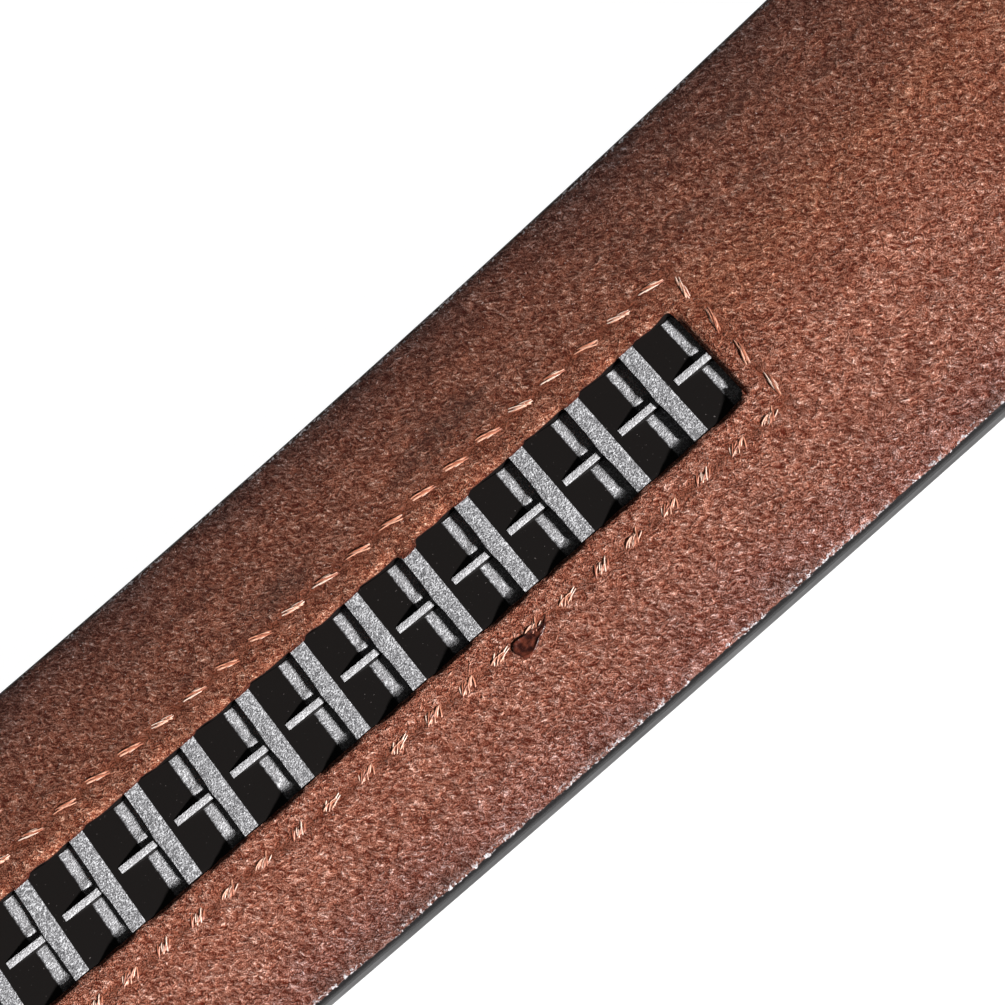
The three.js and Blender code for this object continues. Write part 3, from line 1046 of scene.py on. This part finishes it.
# Unevenness of the knot's outline: height, waves once round, and phase
KNOT_WAVES = ((0.07, 3, 0.7), (0.03, 7, 0.0))
TAIL_START = 0.0013
TAIL_LENGTH = 0.0012
TAIL_SIDE = (0.00005, 0.0008)
TAIL_BEND = 1.7
TAIL_RADII = (0.00022, 0.00005)
TAIL_LIFT = 0.00008
TAIL_SIDES = 6
TAIL_SECTIONS = 8


def thread_knot():
    rng = np.random.default_rng(KNOT_SEED)
    face = STRAP_THICKNESS - SEAM_DEPTH
    turns = np.linspace(0, 2 * math.pi, KNOT_SIDES + 1)[:-1]
    uneven = np.ones_like(turns)
    for height, waves, phase in KNOT_WAVES:
        uneven += height * np.sin(waves * turns + phase)
    loops = []
    for share, height in KNOT_RINGS:
        run = KNOT_HALF[0] * share * uneven * (np.cos(turns) + 0.2 * np.cos(turns) ** 2)
        side = KNOT_HALF[1] * share * uneven * np.sin(turns) * (1 - 0.4 * np.cos(turns))
        ripple = rng.uniform(-1, 1, KNOT_SIDES) * KNOT_RIPPLE
        along = KNOT_ALONG + run * math.cos(KNOT_TURN) - side * math.sin(KNOT_TURN)
        across = KNOT_ACROSS + run * math.sin(KNOT_TURN) + side * math.cos(KNOT_TURN)
        loops.append(lay(along, across, face + height + ripple))
    points, faces = loft(np.array(loops))
    tail = []
    around = np.linspace(0, 2 * math.pi, TAIL_SIDES + 1)[:-1]
    for share in np.linspace(0, 1, TAIL_SECTIONS + 1):
        along = KNOT_ALONG + TAIL_START + TAIL_LENGTH * share
        across = KNOT_ACROSS + TAIL_SIDE[0] + TAIL_SIDE[1] * share**TAIL_BEND
        radius = TAIL_RADII[0] + (TAIL_RADII[1] - TAIL_RADII[0]) * share
        tail.append(lay(
            np.full(TAIL_SIDES, along), across + radius * np.cos(around),
            face + TAIL_LIFT * (1 - share) + 0.8 * radius * np.sin(around),
        ))
    tail_points, tail_faces = loft(np.array(tail))
    faces += [tuple(v + len(points) for v in f) for f in tail_faces]
    points = np.concatenate([points, tail_points])
    return show("thread_knot", mesh_of("thread_knot", points, faces, sharp=70))


# Buckle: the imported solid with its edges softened
BUCKLE_BEVEL = 0.00035
BUCKLE_FLAT = math.radians(0.5)
BUCKLE_SHARP = math.radians(40)


def soft_buckle():
    mesh = frame["nodes"]["buckle"].data.copy()
    mesh.materials.clear()
    body = bmesh.new()
    body.from_mesh(mesh)
    bmesh.ops.remove_doubles(body, verts=body.verts, dist=WELD)
    bmesh.ops.dissolve_limit(body, angle_limit=BUCKLE_FLAT, verts=body.verts, edges=body.edges)
    body.to_mesh(mesh)
    body.free()
    mesh.polygons.foreach_set("use_smooth", [True] * len(mesh.polygons))
    piece = show("buckle_body", mesh)
    bevel = piece.modifiers.new("softened edges", "BEVEL")
    bevel.width = BUCKLE_BEVEL
    bevel.segments = 3
    bevel.limit_method = "ANGLE"
    bevel.angle_limit = BUCKLE_SHARP
    bevel.harden_normals = True
    return piece


# Materials
def new_material(name):
    material = bpy.data.materials.new(name)
    material.use_nodes = True
    tree = material.node_tree
    tree.nodes.clear()
    shader = tree.nodes.new("ShaderNodeBsdfPrincipled")
    output = tree.nodes.new("ShaderNodeOutputMaterial")
    tree.links.new(shader.outputs["BSDF"], output.inputs["Surface"])
    return material, tree, shader


def linear(code):
    """A colour written as red, green and blue from 0 to 255, as linear light."""
    shares = [v / 255 for v in code]
    return tuple(v / 12.92 if v <= 0.04045 else ((v + 0.055) / 1.055) ** 2.4 for v in shares) + (1.0,)


def mapped(tree, turn=0.0, drawn_out=1.0, place=None):
    """Object coordinates, or another place, drawn out along one direction in the XY plane."""
    if place is None:
        place = add_node(tree, "ShaderNodeTexCoord").outputs["Object"]
    return add_node(tree, "ShaderNodeMapping", {
        "Vector": place,
        "Rotation": (0.0, 0.0, turn),
        "Scale": (drawn_out, 1.0, 1.0),
    }, vector_type="TEXTURE").outputs[0]


def noise(tree, vector, scale, detail=2.0, rough=0.5):
    return add_node(tree, "ShaderNodeTexNoise", {
        "Vector": vector, "Scale": scale, "Detail": detail, "Roughness": rough,
    }).outputs["Fac"]


def between(tree, value, low, high, from_value=0.0, to_value=1.0):
    """The value spread from low..high to another range, and held there."""
    return add_node(tree, "ShaderNodeMapRange", {
        "Value": value, "From Min": low, "From Max": high, "To Min": from_value, "To Max": to_value,
    }).outputs["Result"]


def patches(tree, vector, scale, detail, rough, *marks):
    """Noise of a scale, detail and roughness, spread between marks."""
    return between(tree, noise(tree, vector, scale, detail, rough), *marks)


def times(tree, first, second):
    return math_node(tree, "MULTIPLY", first, second)


def blend(tree, share, first, second, mode="MIX"):
    return add_node(
        tree, "ShaderNodeMix", {0: share, 6: first, 7: second}, data_type="RGBA", blend_type=mode,
    ).outputs[2]


def coat(tree, share, below, code):
    """A colour, written from 0 to 255, laid over another where the share is high."""
    return blend(tree, share, below, linear(code))


def ramp(tree, value, stops):
    """A colour ramp through pairs of a place from 0 to 1 and a colour."""
    node = add_node(tree, "ShaderNodeValToRGB", {"Fac": value})
    points = node.color_ramp.elements
    while len(points) < len(stops):
        points.new(0.5)
    for point, (place, colour) in zip(points, stops):
        point.position = place
        point.color = colour
    return node.outputs["Color"]


def code_ramp(tree, value, stops):
    """A ramp through colours written from 0 to 255."""
    return ramp(tree, value, [(place, linear(code)) for place, code in stops])


def attribute(tree, name):
    return add_node(tree, "ShaderNodeAttribute", attribute_name=name).outputs["Fac"]


def bump(tree, height, distance):
    return add_node(
        tree, "ShaderNodeBump", {"Height": height, "Distance": distance, "Strength": 1.0},
    ).outputs["Normal"]


# Grain of the nap. Noises are given as scale, detail and roughness, and some with marks
GRAIN_TURN = math.radians(-60)
GRAIN_CROSS = 0.45
GRAIN_SWAY = 0.0004
GRAIN_BENDS = 1200.0
GRAIN_CLUMPS = (2500.0, 3.0, 0.62)
CLUMP_TURN = 0.2
CLUMP_STRETCH = 2.2
LONG_STROKES = (5200.0, 2.0, 0.55)
CROSS_STROKES = (4900.0, 2.0, 0.55)
STROKE_STRETCH = 3.0
GRAIN_PILE = (9500.0, 1.0)
CLUMP_WEIGHT = 0.27
STROKE_WEIGHT = 0.6
PILE_WEIGHT = 0.3
GRAIN_MARKS = (0.515, 0.755)
NAP_RELIEF = 0.00022

# Colours of the nap from the lower side of the strap to its upper side, darker upwards: partly the
# leather's burnished tone, partly painted shade, as the key light falls from the lower side
NAP_SIDE_TONES_AND_SHADE = (
    (0.00, (128, 90, 80)),
    (0.04, (164, 109, 95)),
    (0.16, (174, 113, 93)),
    (0.34, (180, 116, 94)),
    (0.46, (163, 101, 79)),
    (0.62, (159, 99, 75)),
    (0.72, (138, 86, 67)),
    (0.84, (127, 79, 62)),
    (0.94, (102, 64, 52)),
    (1.00, (80, 54, 47)),
)

# Factors on those colours, by the grain, by mottling and by warmth. The grain's factor darkens the low pits
# and lightens the raised fibres, partly the fibres' own tone and partly painted shade and painted highlight
GRAIN_TONES_SHADE_AND_HIGHLIGHT = (
    (0.0, (0.26, 0.09, 0.05, 1.0)),
    (0.45, (0.99, 0.88, 0.83, 1.0)),
    (0.8, (1.75, 2.22, 2.50, 1.0)),
    (1.0, (2.8, 4.6, 5.8, 1.0)),
)
MOTTLE = (620.0, 3.0, 0.6, 0.3, 0.7)
MOTTLE_TONES = ((0.0, (0.80, 0.78, 0.78, 1.0)), (1.0, (1.14, 1.14, 1.14, 1.0)))
WARMTH = (1500.0, 2.0, 0.6, 0.34, 0.66)
WARMTH_TONES = ((0.0, (0.94, 1.02, 1.07, 1.0)), (1.0, (1.07, 0.98, 0.92, 1.0)))
CLOUDS = (110.0, 3.0, 0.55, 0.35, 0.65)
CLOUD_DRIFT = 0.06
# Pale specks on the nap: painted glints of light.
NAP_GLINTS = (5200.0, 1.0, 0.5, 0.72, 0.78, 0.0, 0.6)
NAP_GLINT_COLOUR = (224, 200, 190)

# Dark streaks above the upper stitches
STREAKS = (380.0, 4.0, 0.6, 0.52, 0.68)
STREAK_TURN = 0.05
STREAK_STRETCH = 5.0
STREAKS_LOW = (0.0065, 0.0090)
STREAKS_HIGH = (0.0175, 0.0120)
STREAK_SHARE = 0.5
STREAK_COLOUR = (58, 38, 33)

# Rust coloured nap beside the thread, painted shade in the needle holes, and the window's cut edge
HALO_MARKS = (0.45, 0.65, 0.2, 0.85)
HALO_COLOUR = (134, 68, 45)
HOLE_SHADE_SHARE = 0.25
HOLE_SHADE_COLOUR = (72, 32, 20)
CUT_MARKS = (0.0, 0.4, 0.0, 0.85)
CUT_COLOUR = (96, 42, 30)
WALL_MARKS = (0.5, 0.8)
WALL_COLOUR = (20, 12, 10)

# Painted edge: width of the paint that laps over the nap, and its border with pale painted glints in
# clusters
PAINT_SLOW = (260.0, 2.0)
PAINT_RAGGED = (1500.0, 3.0, 0.65)
PAINT_LAP = -0.00002
PAINT_SLOW_WIDTH = 0.0003
PAINT_RAGGED_WIDTH = 0.0003
PAINT_MARKS = (0.00003, -0.00004)
PAINT_COLOUR = (13, 10, 11)
PAINT_RELIEF = 0.12
GLINTS_INNER = (0.00040, 0.00012)
GLINTS_OUTER = (-0.00008, 0.0)
GLINT_CLUSTERS = (330.0, 2.0, 0.5, 0.40, 0.52)
BORDER_GLINTS = (3300.0, 2.0, 0.5, 0.53, 0.59)
BORDER_GLINT_COLOUR = (226, 218, 220)
NAP_ROUGHNESS = 0.84
PAINT_GLOSS = 0.32
NAP_SHINE = 0.18


def nap_grain(tree, plain):
    """Height of the nap: clumps and short strokes that mostly lie one way, and fine pile."""
    bend = add_node(tree, "ShaderNodeTexNoise", {"Vector": plain, "Scale": GRAIN_BENDS, "Detail": 1.0})
    off = add_node(tree, "ShaderNodeVectorMath", {
        0: bend.outputs["Color"], 1: (0.5, 0.5, 0.5),
    }, operation="SUBTRACT")
    sway = add_node(tree, "ShaderNodeVectorMath", {
        0: off.outputs[0], "Scale": GRAIN_SWAY,
    }, operation="SCALE")
    bent = add_node(tree, "ShaderNodeVectorMath", {
        0: plain, 1: sway.outputs[0],
    }, operation="ADD").outputs[0]
    clump = noise(tree, mapped(tree, GRAIN_TURN + CLUMP_TURN, CLUMP_STRETCH, bent), *GRAIN_CLUMPS)
    long_way = noise(tree, mapped(tree, GRAIN_TURN, STROKE_STRETCH, bent), *LONG_STROKES)
    cross_place = mapped(tree, GRAIN_TURN + GRAIN_CROSS, STROKE_STRETCH, bent)
    strokes = math_node(tree, "MAXIMUM", long_way, noise(tree, cross_place, *CROSS_STROKES))
    height = math_node(tree, "MULTIPLY_ADD", clump, CLUMP_WEIGHT, times(tree, strokes, STROKE_WEIGHT))
    height = math_node(tree, "MULTIPLY_ADD", noise(tree, plain, *GRAIN_PILE), PILE_WEIGHT, height)
    return between(tree, height, *GRAIN_MARKS), strokes


def nap_material():
    material, tree, shader = new_material("napped_leather")
    plain = mapped(tree)
    grain, strokes = nap_grain(tree, plain)
    level = add_node(tree, "ShaderNodeSeparateXYZ", {"Vector": plain}).outputs["Y"]

    # Colour across the strap, darker towards its upper side in part as painted shade, with mottling, warm
    # and grey patches and dark clouds
    side = between(tree, level, -half_width, half_width)
    cloud = patches(tree, plain, *CLOUDS)
    drift = math_node(tree, "MULTIPLY_ADD", cloud, CLOUD_DRIFT, -CLOUD_DRIFT / 2)
    colour = code_ramp(tree, math_node(tree, "ADD", side, drift), NAP_SIDE_TONES_AND_SHADE)
    # The grain's factor paints shade in the pits and highlight on the raised fibres, besides their own
    # tone.
    for value, tones in (
        (grain, GRAIN_TONES_SHADE_AND_HIGHLIGHT),
        (patches(tree, plain, *MOTTLE), MOTTLE_TONES),
        (patches(tree, plain, *WARMTH), WARMTH_TONES),
    ):
        colour = blend(tree, 1.0, colour, ramp(tree, value, tones), "MULTIPLY")
    # Painted glints: pale specks of light on the nap.
    colour = coat(tree, patches(tree, plain, *NAP_GLINTS), colour, NAP_GLINT_COLOUR)
    streaks = patches(tree, mapped(tree, STREAK_TURN, STREAK_STRETCH), *STREAKS)
    upper = times(tree, between(tree, level, *STREAKS_LOW), between(tree, level, *STREAKS_HIGH))
    streaks = times(tree, times(tree, streaks, upper), STREAK_SHARE)
    colour = coat(tree, streaks, colour, STREAK_COLOUR)

    # What the marks on the mesh say: thread, painted shade in the needle holes, and the window's cut edge
    halo = times(tree, attribute(tree, "seam"), between(tree, strokes, *HALO_MARKS))
    colour = coat(tree, halo, colour, HALO_COLOUR)
    hole = times(tree, attribute(tree, "hole"), HOLE_SHADE_SHARE)
    colour = coat(tree, hole, colour, HOLE_SHADE_COLOUR)
    cut = attribute(tree, "cut")
    colour = coat(tree, between(tree, cut, *CUT_MARKS), colour, CUT_COLOUR)
    colour = coat(tree, between(tree, cut, *WALL_MARKS), colour, WALL_COLOUR)

    # Paint, with a ragged border and pale painted glints in clusters along it
    slow = noise(tree, plain, *PAINT_SLOW)
    ragged = noise(tree, plain, *PAINT_RAGGED)
    width = math_node(tree, "MULTIPLY_ADD", slow, PAINT_SLOW_WIDTH, PAINT_LAP)
    width = math_node(tree, "MULTIPLY_ADD", ragged, PAINT_RAGGED_WIDTH, width)
    reach = math_node(tree, "SUBTRACT", attribute(tree, "edge_gap"), width)
    paint = between(tree, reach, *PAINT_MARKS)
    colour = coat(tree, paint, colour, PAINT_COLOUR)
    border = times(tree, between(tree, reach, *GLINTS_INNER), between(tree, reach, *GLINTS_OUTER))
    cluster = patches(tree, plain, *GLINT_CLUSTERS)
    glint = times(tree, patches(tree, plain, *BORDER_GLINTS), times(tree, border, cluster))
    nap = times(tree, grain, between(tree, paint, 0.0, 1.0, 1.0, PAINT_RELIEF))
    feed(tree, shader, {
        "Base Color": coat(tree, glint, colour, BORDER_GLINT_COLOUR),
        "Roughness": math_node(tree, "MULTIPLY_ADD", paint, -PAINT_GLOSS, NAP_ROUGHNESS),
        "Normal": bump(tree, nap, NAP_RELIEF),
        "Specular IOR Level": NAP_SHINE,
    })
    return material


# Smooth leather of the outer side: creases darkened as painted shade, clouds, wear and paint
CREASE_SCALE = 900.0
CREASE_MARKS = (0.0, 0.16)
CREASE_SHADE_COLOUR = (40, 24, 20)
CREASE_RELIEF = 0.00004
HIDE_CLOUDS = (60.0, 4.0, 0.6)
HIDE_COLOURS = ((0.3, (58, 34, 26)), (0.7, (84, 50, 37)))
HIDE_WEAR = (240.0, 3.0, 0.5, 0.3, 0.7, 0.34, 0.5)
HIDE_RAGGED = (1200.0, 3.0, 0.6)
HIDE_PAINT_WIDTHS = (0.0006, 0.0003)
HIDE_PAINT_MARKS = (0.00006, -0.00006)
HIDE_PAINT_COLOUR = (16, 13, 14)
HIDE_PAINT_RELIEF = 0.1
HIDE_SHINE = 0.25


def smooth_leather_material():
    material, tree, shader = new_material("smooth_leather")
    plain = mapped(tree)
    pores = add_node(
        tree, "ShaderNodeTexVoronoi", {"Vector": plain, "Scale": CREASE_SCALE},
        feature="DISTANCE_TO_EDGE",
    )
    crease = between(tree, pores.outputs["Distance"], *CREASE_MARKS)
    colour = code_ramp(tree, noise(tree, plain, *HIDE_CLOUDS), HIDE_COLOURS)
    # The creases are painted darker: painted shade.
    colour = blend(tree, crease, linear(CREASE_SHADE_COLOUR), colour)
    ragged = noise(tree, plain, *HIDE_RAGGED)
    width = math_node(tree, "MULTIPLY_ADD", ragged, *HIDE_PAINT_WIDTHS)
    reach = math_node(tree, "SUBTRACT", attribute(tree, "edge_gap"), width)
    paint = between(tree, reach, *HIDE_PAINT_MARKS)
    relief = times(tree, crease, between(tree, paint, 0.0, 1.0, 1.0, HIDE_PAINT_RELIEF))
    feed(tree, shader, {
        "Base Color": coat(tree, paint, colour, HIDE_PAINT_COLOUR),
        "Roughness": patches(tree, plain, *HIDE_WEAR),
        "Normal": bump(tree, relief, CREASE_RELIEF),
        "Specular IOR Level": HIDE_SHINE,
    })
    return material


# Moulded plastic: black, and sanded where a point's mark is high. The sanded places are painted grey,
# lighter on the valley strips and fins: painted sheen of the light on the sand, not the plastic's own
# colour
SAND_FINE = (7200.0, 2.0, 0.6)
SAND_CLUMPS = (2600.0, 2.0, 0.6)
SAND_WEIGHTS = (0.9, 0.3)
SAND_MARKS = (0.42, 0.78)
SAND_SHEEN_TONES = (
    (0.0, (0.09, 0.09, 0.095, 1.0)),
    (0.5, (0.30, 0.295, 0.305, 1.0)),
    (1.0, (0.95, 0.95, 0.97, 1.0)),
)
SAND_UNEVEN = 0.5
SAND_COVER = (0.25, 0.8)
SAND_RELIEF = 0.00005
SMOOTH_SHARE = 0.03
PLASTIC_ROUGHNESS = (0.42, 0.75)
PLASTIC_SHINE = 0.3
FIN_SHEEN_MARKS = (1.1, FIN_SAND, 0.0, 0.28)
FIN_SHEEN_COLOUR = (0.98, 0.96, 0.97, 1.0)
SCRATCHES = (7000.0, 3.0, 0.7, 0.76, 0.82, 0.0, 0.3)
SCRATCH_TURN = -0.15
SCRATCH_STRETCH = 8.0
SCRATCH_COLOUR = (110, 102, 98)
BLACK_COLOUR = (20, 17, 16)
SPECKS = (5200.0, 1.0, 0.5, 0.76, 0.80, 0.0, 0.5)
SPECK_COLOUR = (130, 122, 120)
DUST = (1900.0, 2.0, 0.5, 0.76, 0.79, 0.0, 0.8)
DUST_COLOUR = (96, 52, 48)


def plastic_material():
    material, tree, shader = new_material("moulded_plastic")
    plain = mapped(tree)
    sand = noise(tree, plain, *SAND_FINE)
    clumps = noise(tree, plain, *SAND_CLUMPS)
    fine_weight, clump_weight = SAND_WEIGHTS
    grains = math_node(tree, "MULTIPLY_ADD", clumps, clump_weight, times(tree, sand, fine_weight))
    grains = between(tree, grains, *SAND_MARKS)
    level = attribute(tree, "sand")
    uneven = math_node(tree, "MULTIPLY_ADD", clumps, SAND_UNEVEN, -SAND_UNEVEN / 2)
    sanded = between(tree, math_node(tree, "ADD", level, uneven), *SAND_COVER)
    # Painted sheen: the sanded grains are painted grey to white, lighter still on fins and valley strips.
    light = ramp(tree, grains, SAND_SHEEN_TONES)
    light = blend(tree, between(tree, level, *FIN_SHEEN_MARKS), light, FIN_SHEEN_COLOUR)
    light = coat(tree, patches(tree, plain, *DUST), light, DUST_COLOUR)
    scratch = patches(tree, mapped(tree, SCRATCH_TURN, SCRATCH_STRETCH), *SCRATCHES)
    dark = coat(tree, scratch, linear(BLACK_COLOUR), SCRATCH_COLOUR)
    dark = coat(tree, patches(tree, plain, *SPECKS), dark, SPECK_COLOUR)
    relief = times(tree, grains, between(tree, sanded, 0.0, 1.0, SMOOTH_SHARE, 1.0))
    feed(tree, shader, {
        "Base Color": blend(tree, sanded, dark, light),
        "Roughness": between(tree, sanded, 0.0, 1.0, *PLASTIC_ROUGHNESS),
        "Normal": bump(tree, relief, SAND_RELIEF),
        "Specular IOR Level": PLASTIC_SHINE,
    })
    return material


# Strand colours: copper brown, and paler strands that are painted highlights.
THREAD_COLOURS_AND_HIGHLIGHTS = (
    (0.0, (164, 92, 66)),
    (0.3, (208, 134, 104)),
    (0.6, (234, 178, 150)),
    (1.0, (252, 226, 208)),
)
THREAD_FIBRES = 5200.0
FIBRE_MARKS = (0.35, 0.65, 0.0, 0.3)
FIBRE_COLOUR = (104, 52, 34)
FIBRE_RELIEF = 0.00003
THREAD_ROUGHNESS = 0.42
THREAD_SHEEN = 0.2


def thread_material():
    material, tree, shader = new_material("copper_thread")
    # The paler strands stand for highlights: painted highlight.
    colour = code_ramp(tree, attribute(tree, "strand"), THREAD_COLOURS_AND_HIGHLIGHTS)
    fine = noise(tree, mapped(tree), THREAD_FIBRES)
    feed(tree, shader, {
        "Base Color": coat(tree, between(tree, fine, *FIBRE_MARKS), colour, FIBRE_COLOUR),
        "Roughness": THREAD_ROUGHNESS,
        "Sheen Weight": THREAD_SHEEN,
        "Normal": bump(tree, fine, FIBRE_RELIEF),
    })
    return material


MELT_CLOUDS = 1900.0
MELT_COLOURS = ((0.38, (50, 22, 18)), (0.64, (108, 54, 40)))
MELT_RIPPLES = 3600.0
MELT_ROUGHNESS = (0.35, 0.65, 0.14, 0.34)
MELT_RELIEF = 0.00007


def knot_material():
    material, tree, shader = new_material("melted_thread")
    plain = mapped(tree)
    ripples = noise(tree, plain, MELT_RIPPLES)
    feed(tree, shader, {
        "Base Color": code_ramp(tree, noise(tree, plain, MELT_CLOUDS), MELT_COLOURS),
        "Roughness": between(tree, ripples, *MELT_ROUGHNESS),
        "Normal": bump(tree, ripples, MELT_RELIEF),
    })
    return material


BRUSHING = (4800.0, 4.0, 0.6)
BRUSH_STRETCH = 40.0
BRUSH_ROUGHNESS = (0.3, 0.7, 0.26, 0.42)
BRUSH_RELIEF = 0.00001
METAL_CLOUDS = (45.0, 3.0)
METAL_TONES = ((0.3, (0.36, 0.35, 0.335, 1.0)), (0.7, (0.44, 0.43, 0.41, 1.0)))


def metal_material():
    material, tree, shader = new_material("satin_nickel")
    lines = noise(tree, mapped(tree, 0.0, BRUSH_STRETCH), *BRUSHING)
    feed(tree, shader, {
        "Base Color": ramp(tree, noise(tree, mapped(tree), *METAL_CLOUDS), METAL_TONES),
        "Metallic": 1.0,
        "Roughness": between(tree, lines, *BRUSH_ROUGHNESS),
        "Normal": bump(tree, lines, BRUSH_RELIEF),
    })
    return material


FLOOR_GLOW = 1.0
FLOOR_ROUGHNESS = 0.9
FLOOR_CLOUDS = 30.0
FLOOR_TONES = ((0.3, (0.11, 0.11, 0.11, 1.0)), (0.7, (0.13, 0.13, 0.13, 1.0)))


def floor_material():
    material, tree, shader = new_material("white_table")
    feed(tree, shader, {
        "Base Color": ramp(tree, noise(tree, mapped(tree), FLOOR_CLOUDS), FLOOR_TONES),
        "Roughness": FLOOR_ROUGHNESS,
        "Emission Color": (1.0, 1.0, 1.0, 1.0),
        "Emission Strength": FLOOR_GLOW,
    })
    return material


# Camera: over the tip end of the window, tilted a little towards the lower side
FOCUS_ALONG = rack_start + 0.218
FOCUS_OFFSET = 0.00094
FOCUS_SIDE = 0.00356
CAMERA_DISTANCE = 0.16489
TILT_ACROSS = math.radians(-19.07)
TILT_ALONG = math.radians(-4.07)
CAMERA_ROLL = math.radians(41.68)
FOCAL_LENGTH = 71.64


def strap_axes(along):
    """Origin on the underside and the axes along, across and out of the strap at a length."""
    x, z, slope = (float(v) for v in follow(along))
    origin = Vector((x, 0.0, z))
    ahead = Vector((math.cos(slope), 0.0, math.sin(slope)))
    out = Vector((-math.sin(slope), 0.0, math.cos(slope)))
    return origin, Matrix((ahead, (0.0, 1.0, 0.0), out)).transposed()


def add_camera():
    origin, axes = strap_axes(FOCUS_ALONG)
    turn = Matrix.Rotation(TILT_ALONG, 3, "Y") @ Matrix.Rotation(TILT_ACROSS, 3, "X")
    right, up, back = (axes @ row for row in turn)
    cosine, sine = math.cos(CAMERA_ROLL), math.sin(CAMERA_ROLL)
    target = origin + axes @ Vector((FOCUS_OFFSET, FOCUS_SIDE, 0.0))
    data = bpy.data.cameras.new("camera")
    data.sensor_width = 36.0
    data.lens = FOCAL_LENGTH
    data.clip_start = 0.01
    camera = bpy.data.objects.new("camera", data)
    columns = (right * cosine - up * sine, right * sine + up * cosine, back)
    stand = Matrix.Translation(target + back * CAMERA_DISTANCE)
    camera.matrix_world = stand @ Matrix(columns).transposed().to_4x4()
    bpy.context.scene.collection.objects.link(camera)
    bpy.context.scene.camera = camera


# Light: one low key from the lower right of the picture and a soft fill all round
KEY_DIRECTION = Vector((0.77, -1.43, 1.0))
KEY_STRENGTH = 6.6
KEY_SOFTNESS = math.radians(6)
FILL_STRENGTH = 0.03
FLOOR_HALF = 12.0


def add_light():
    key = bpy.data.lights.new("key", "SUN")
    key.energy = KEY_STRENGTH
    key.angle = KEY_SOFTNESS
    lamp = bpy.data.objects.new("key", key)
    _, axes = strap_axes(FOCUS_ALONG)
    lamp.rotation_euler = (axes @ KEY_DIRECTION).to_track_quat("Z", "Y").to_euler()
    bpy.context.scene.collection.objects.link(lamp)
    world = bpy.data.worlds.new("soft_room")
    world.use_nodes = True
    background = world.node_tree.nodes["Background"]
    background.inputs["Color"].default_value = (1.0, 1.0, 1.0, 1.0)
    background.inputs["Strength"].default_value = FILL_STRENGTH
    bpy.context.scene.world = world


def add_floor():
    size = FLOOR_HALF
    corners = [(-size, -size, 0.0), (size, -size, 0.0), (size, size, 0.0), (-size, size, 0.0)]
    mesh = bpy.data.meshes.new("floor")
    mesh.from_pydata(corners, [], [(0, 1, 2, 3)])
    mesh.materials.append(floor_material())
    show("floor", mesh)


def dress():
    """Every piece of the belt, with its finish, on the belt's one body."""
    plastic = plastic_material()
    thread = thread_material()
    back = back_leather()
    back.data.materials.append(nap_material())
    outer = outer_leather()
    outer.data.materials.append(smooth_leather_material())
    teeth = rack(plastic)
    stitches = window_stitches(thread)
    knot = thread_knot()
    knot.data.materials.append(knot_material())
    buckle = soft_buckle()
    buckle.data.materials.append(metal_material())
    for piece, slot, nodes in (
        (back, "back_leather", ["back_strap"]),
        (outer, "outer_leather", ["outer_strap"]),
        (teeth, "rack_plastic", ["ratchet_rack"]),
        (buckle, "buckle_metal", ["buckle"]),
        (stitches, "seam_thread", []),
        (knot, "seam_thread", []),
    ):
        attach(piece, "root")
        if nodes:
            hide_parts(*nodes)


dress()
add_camera()
add_light()
add_floor()
bpy.context.scene.view_settings.view_transform = "Standard"
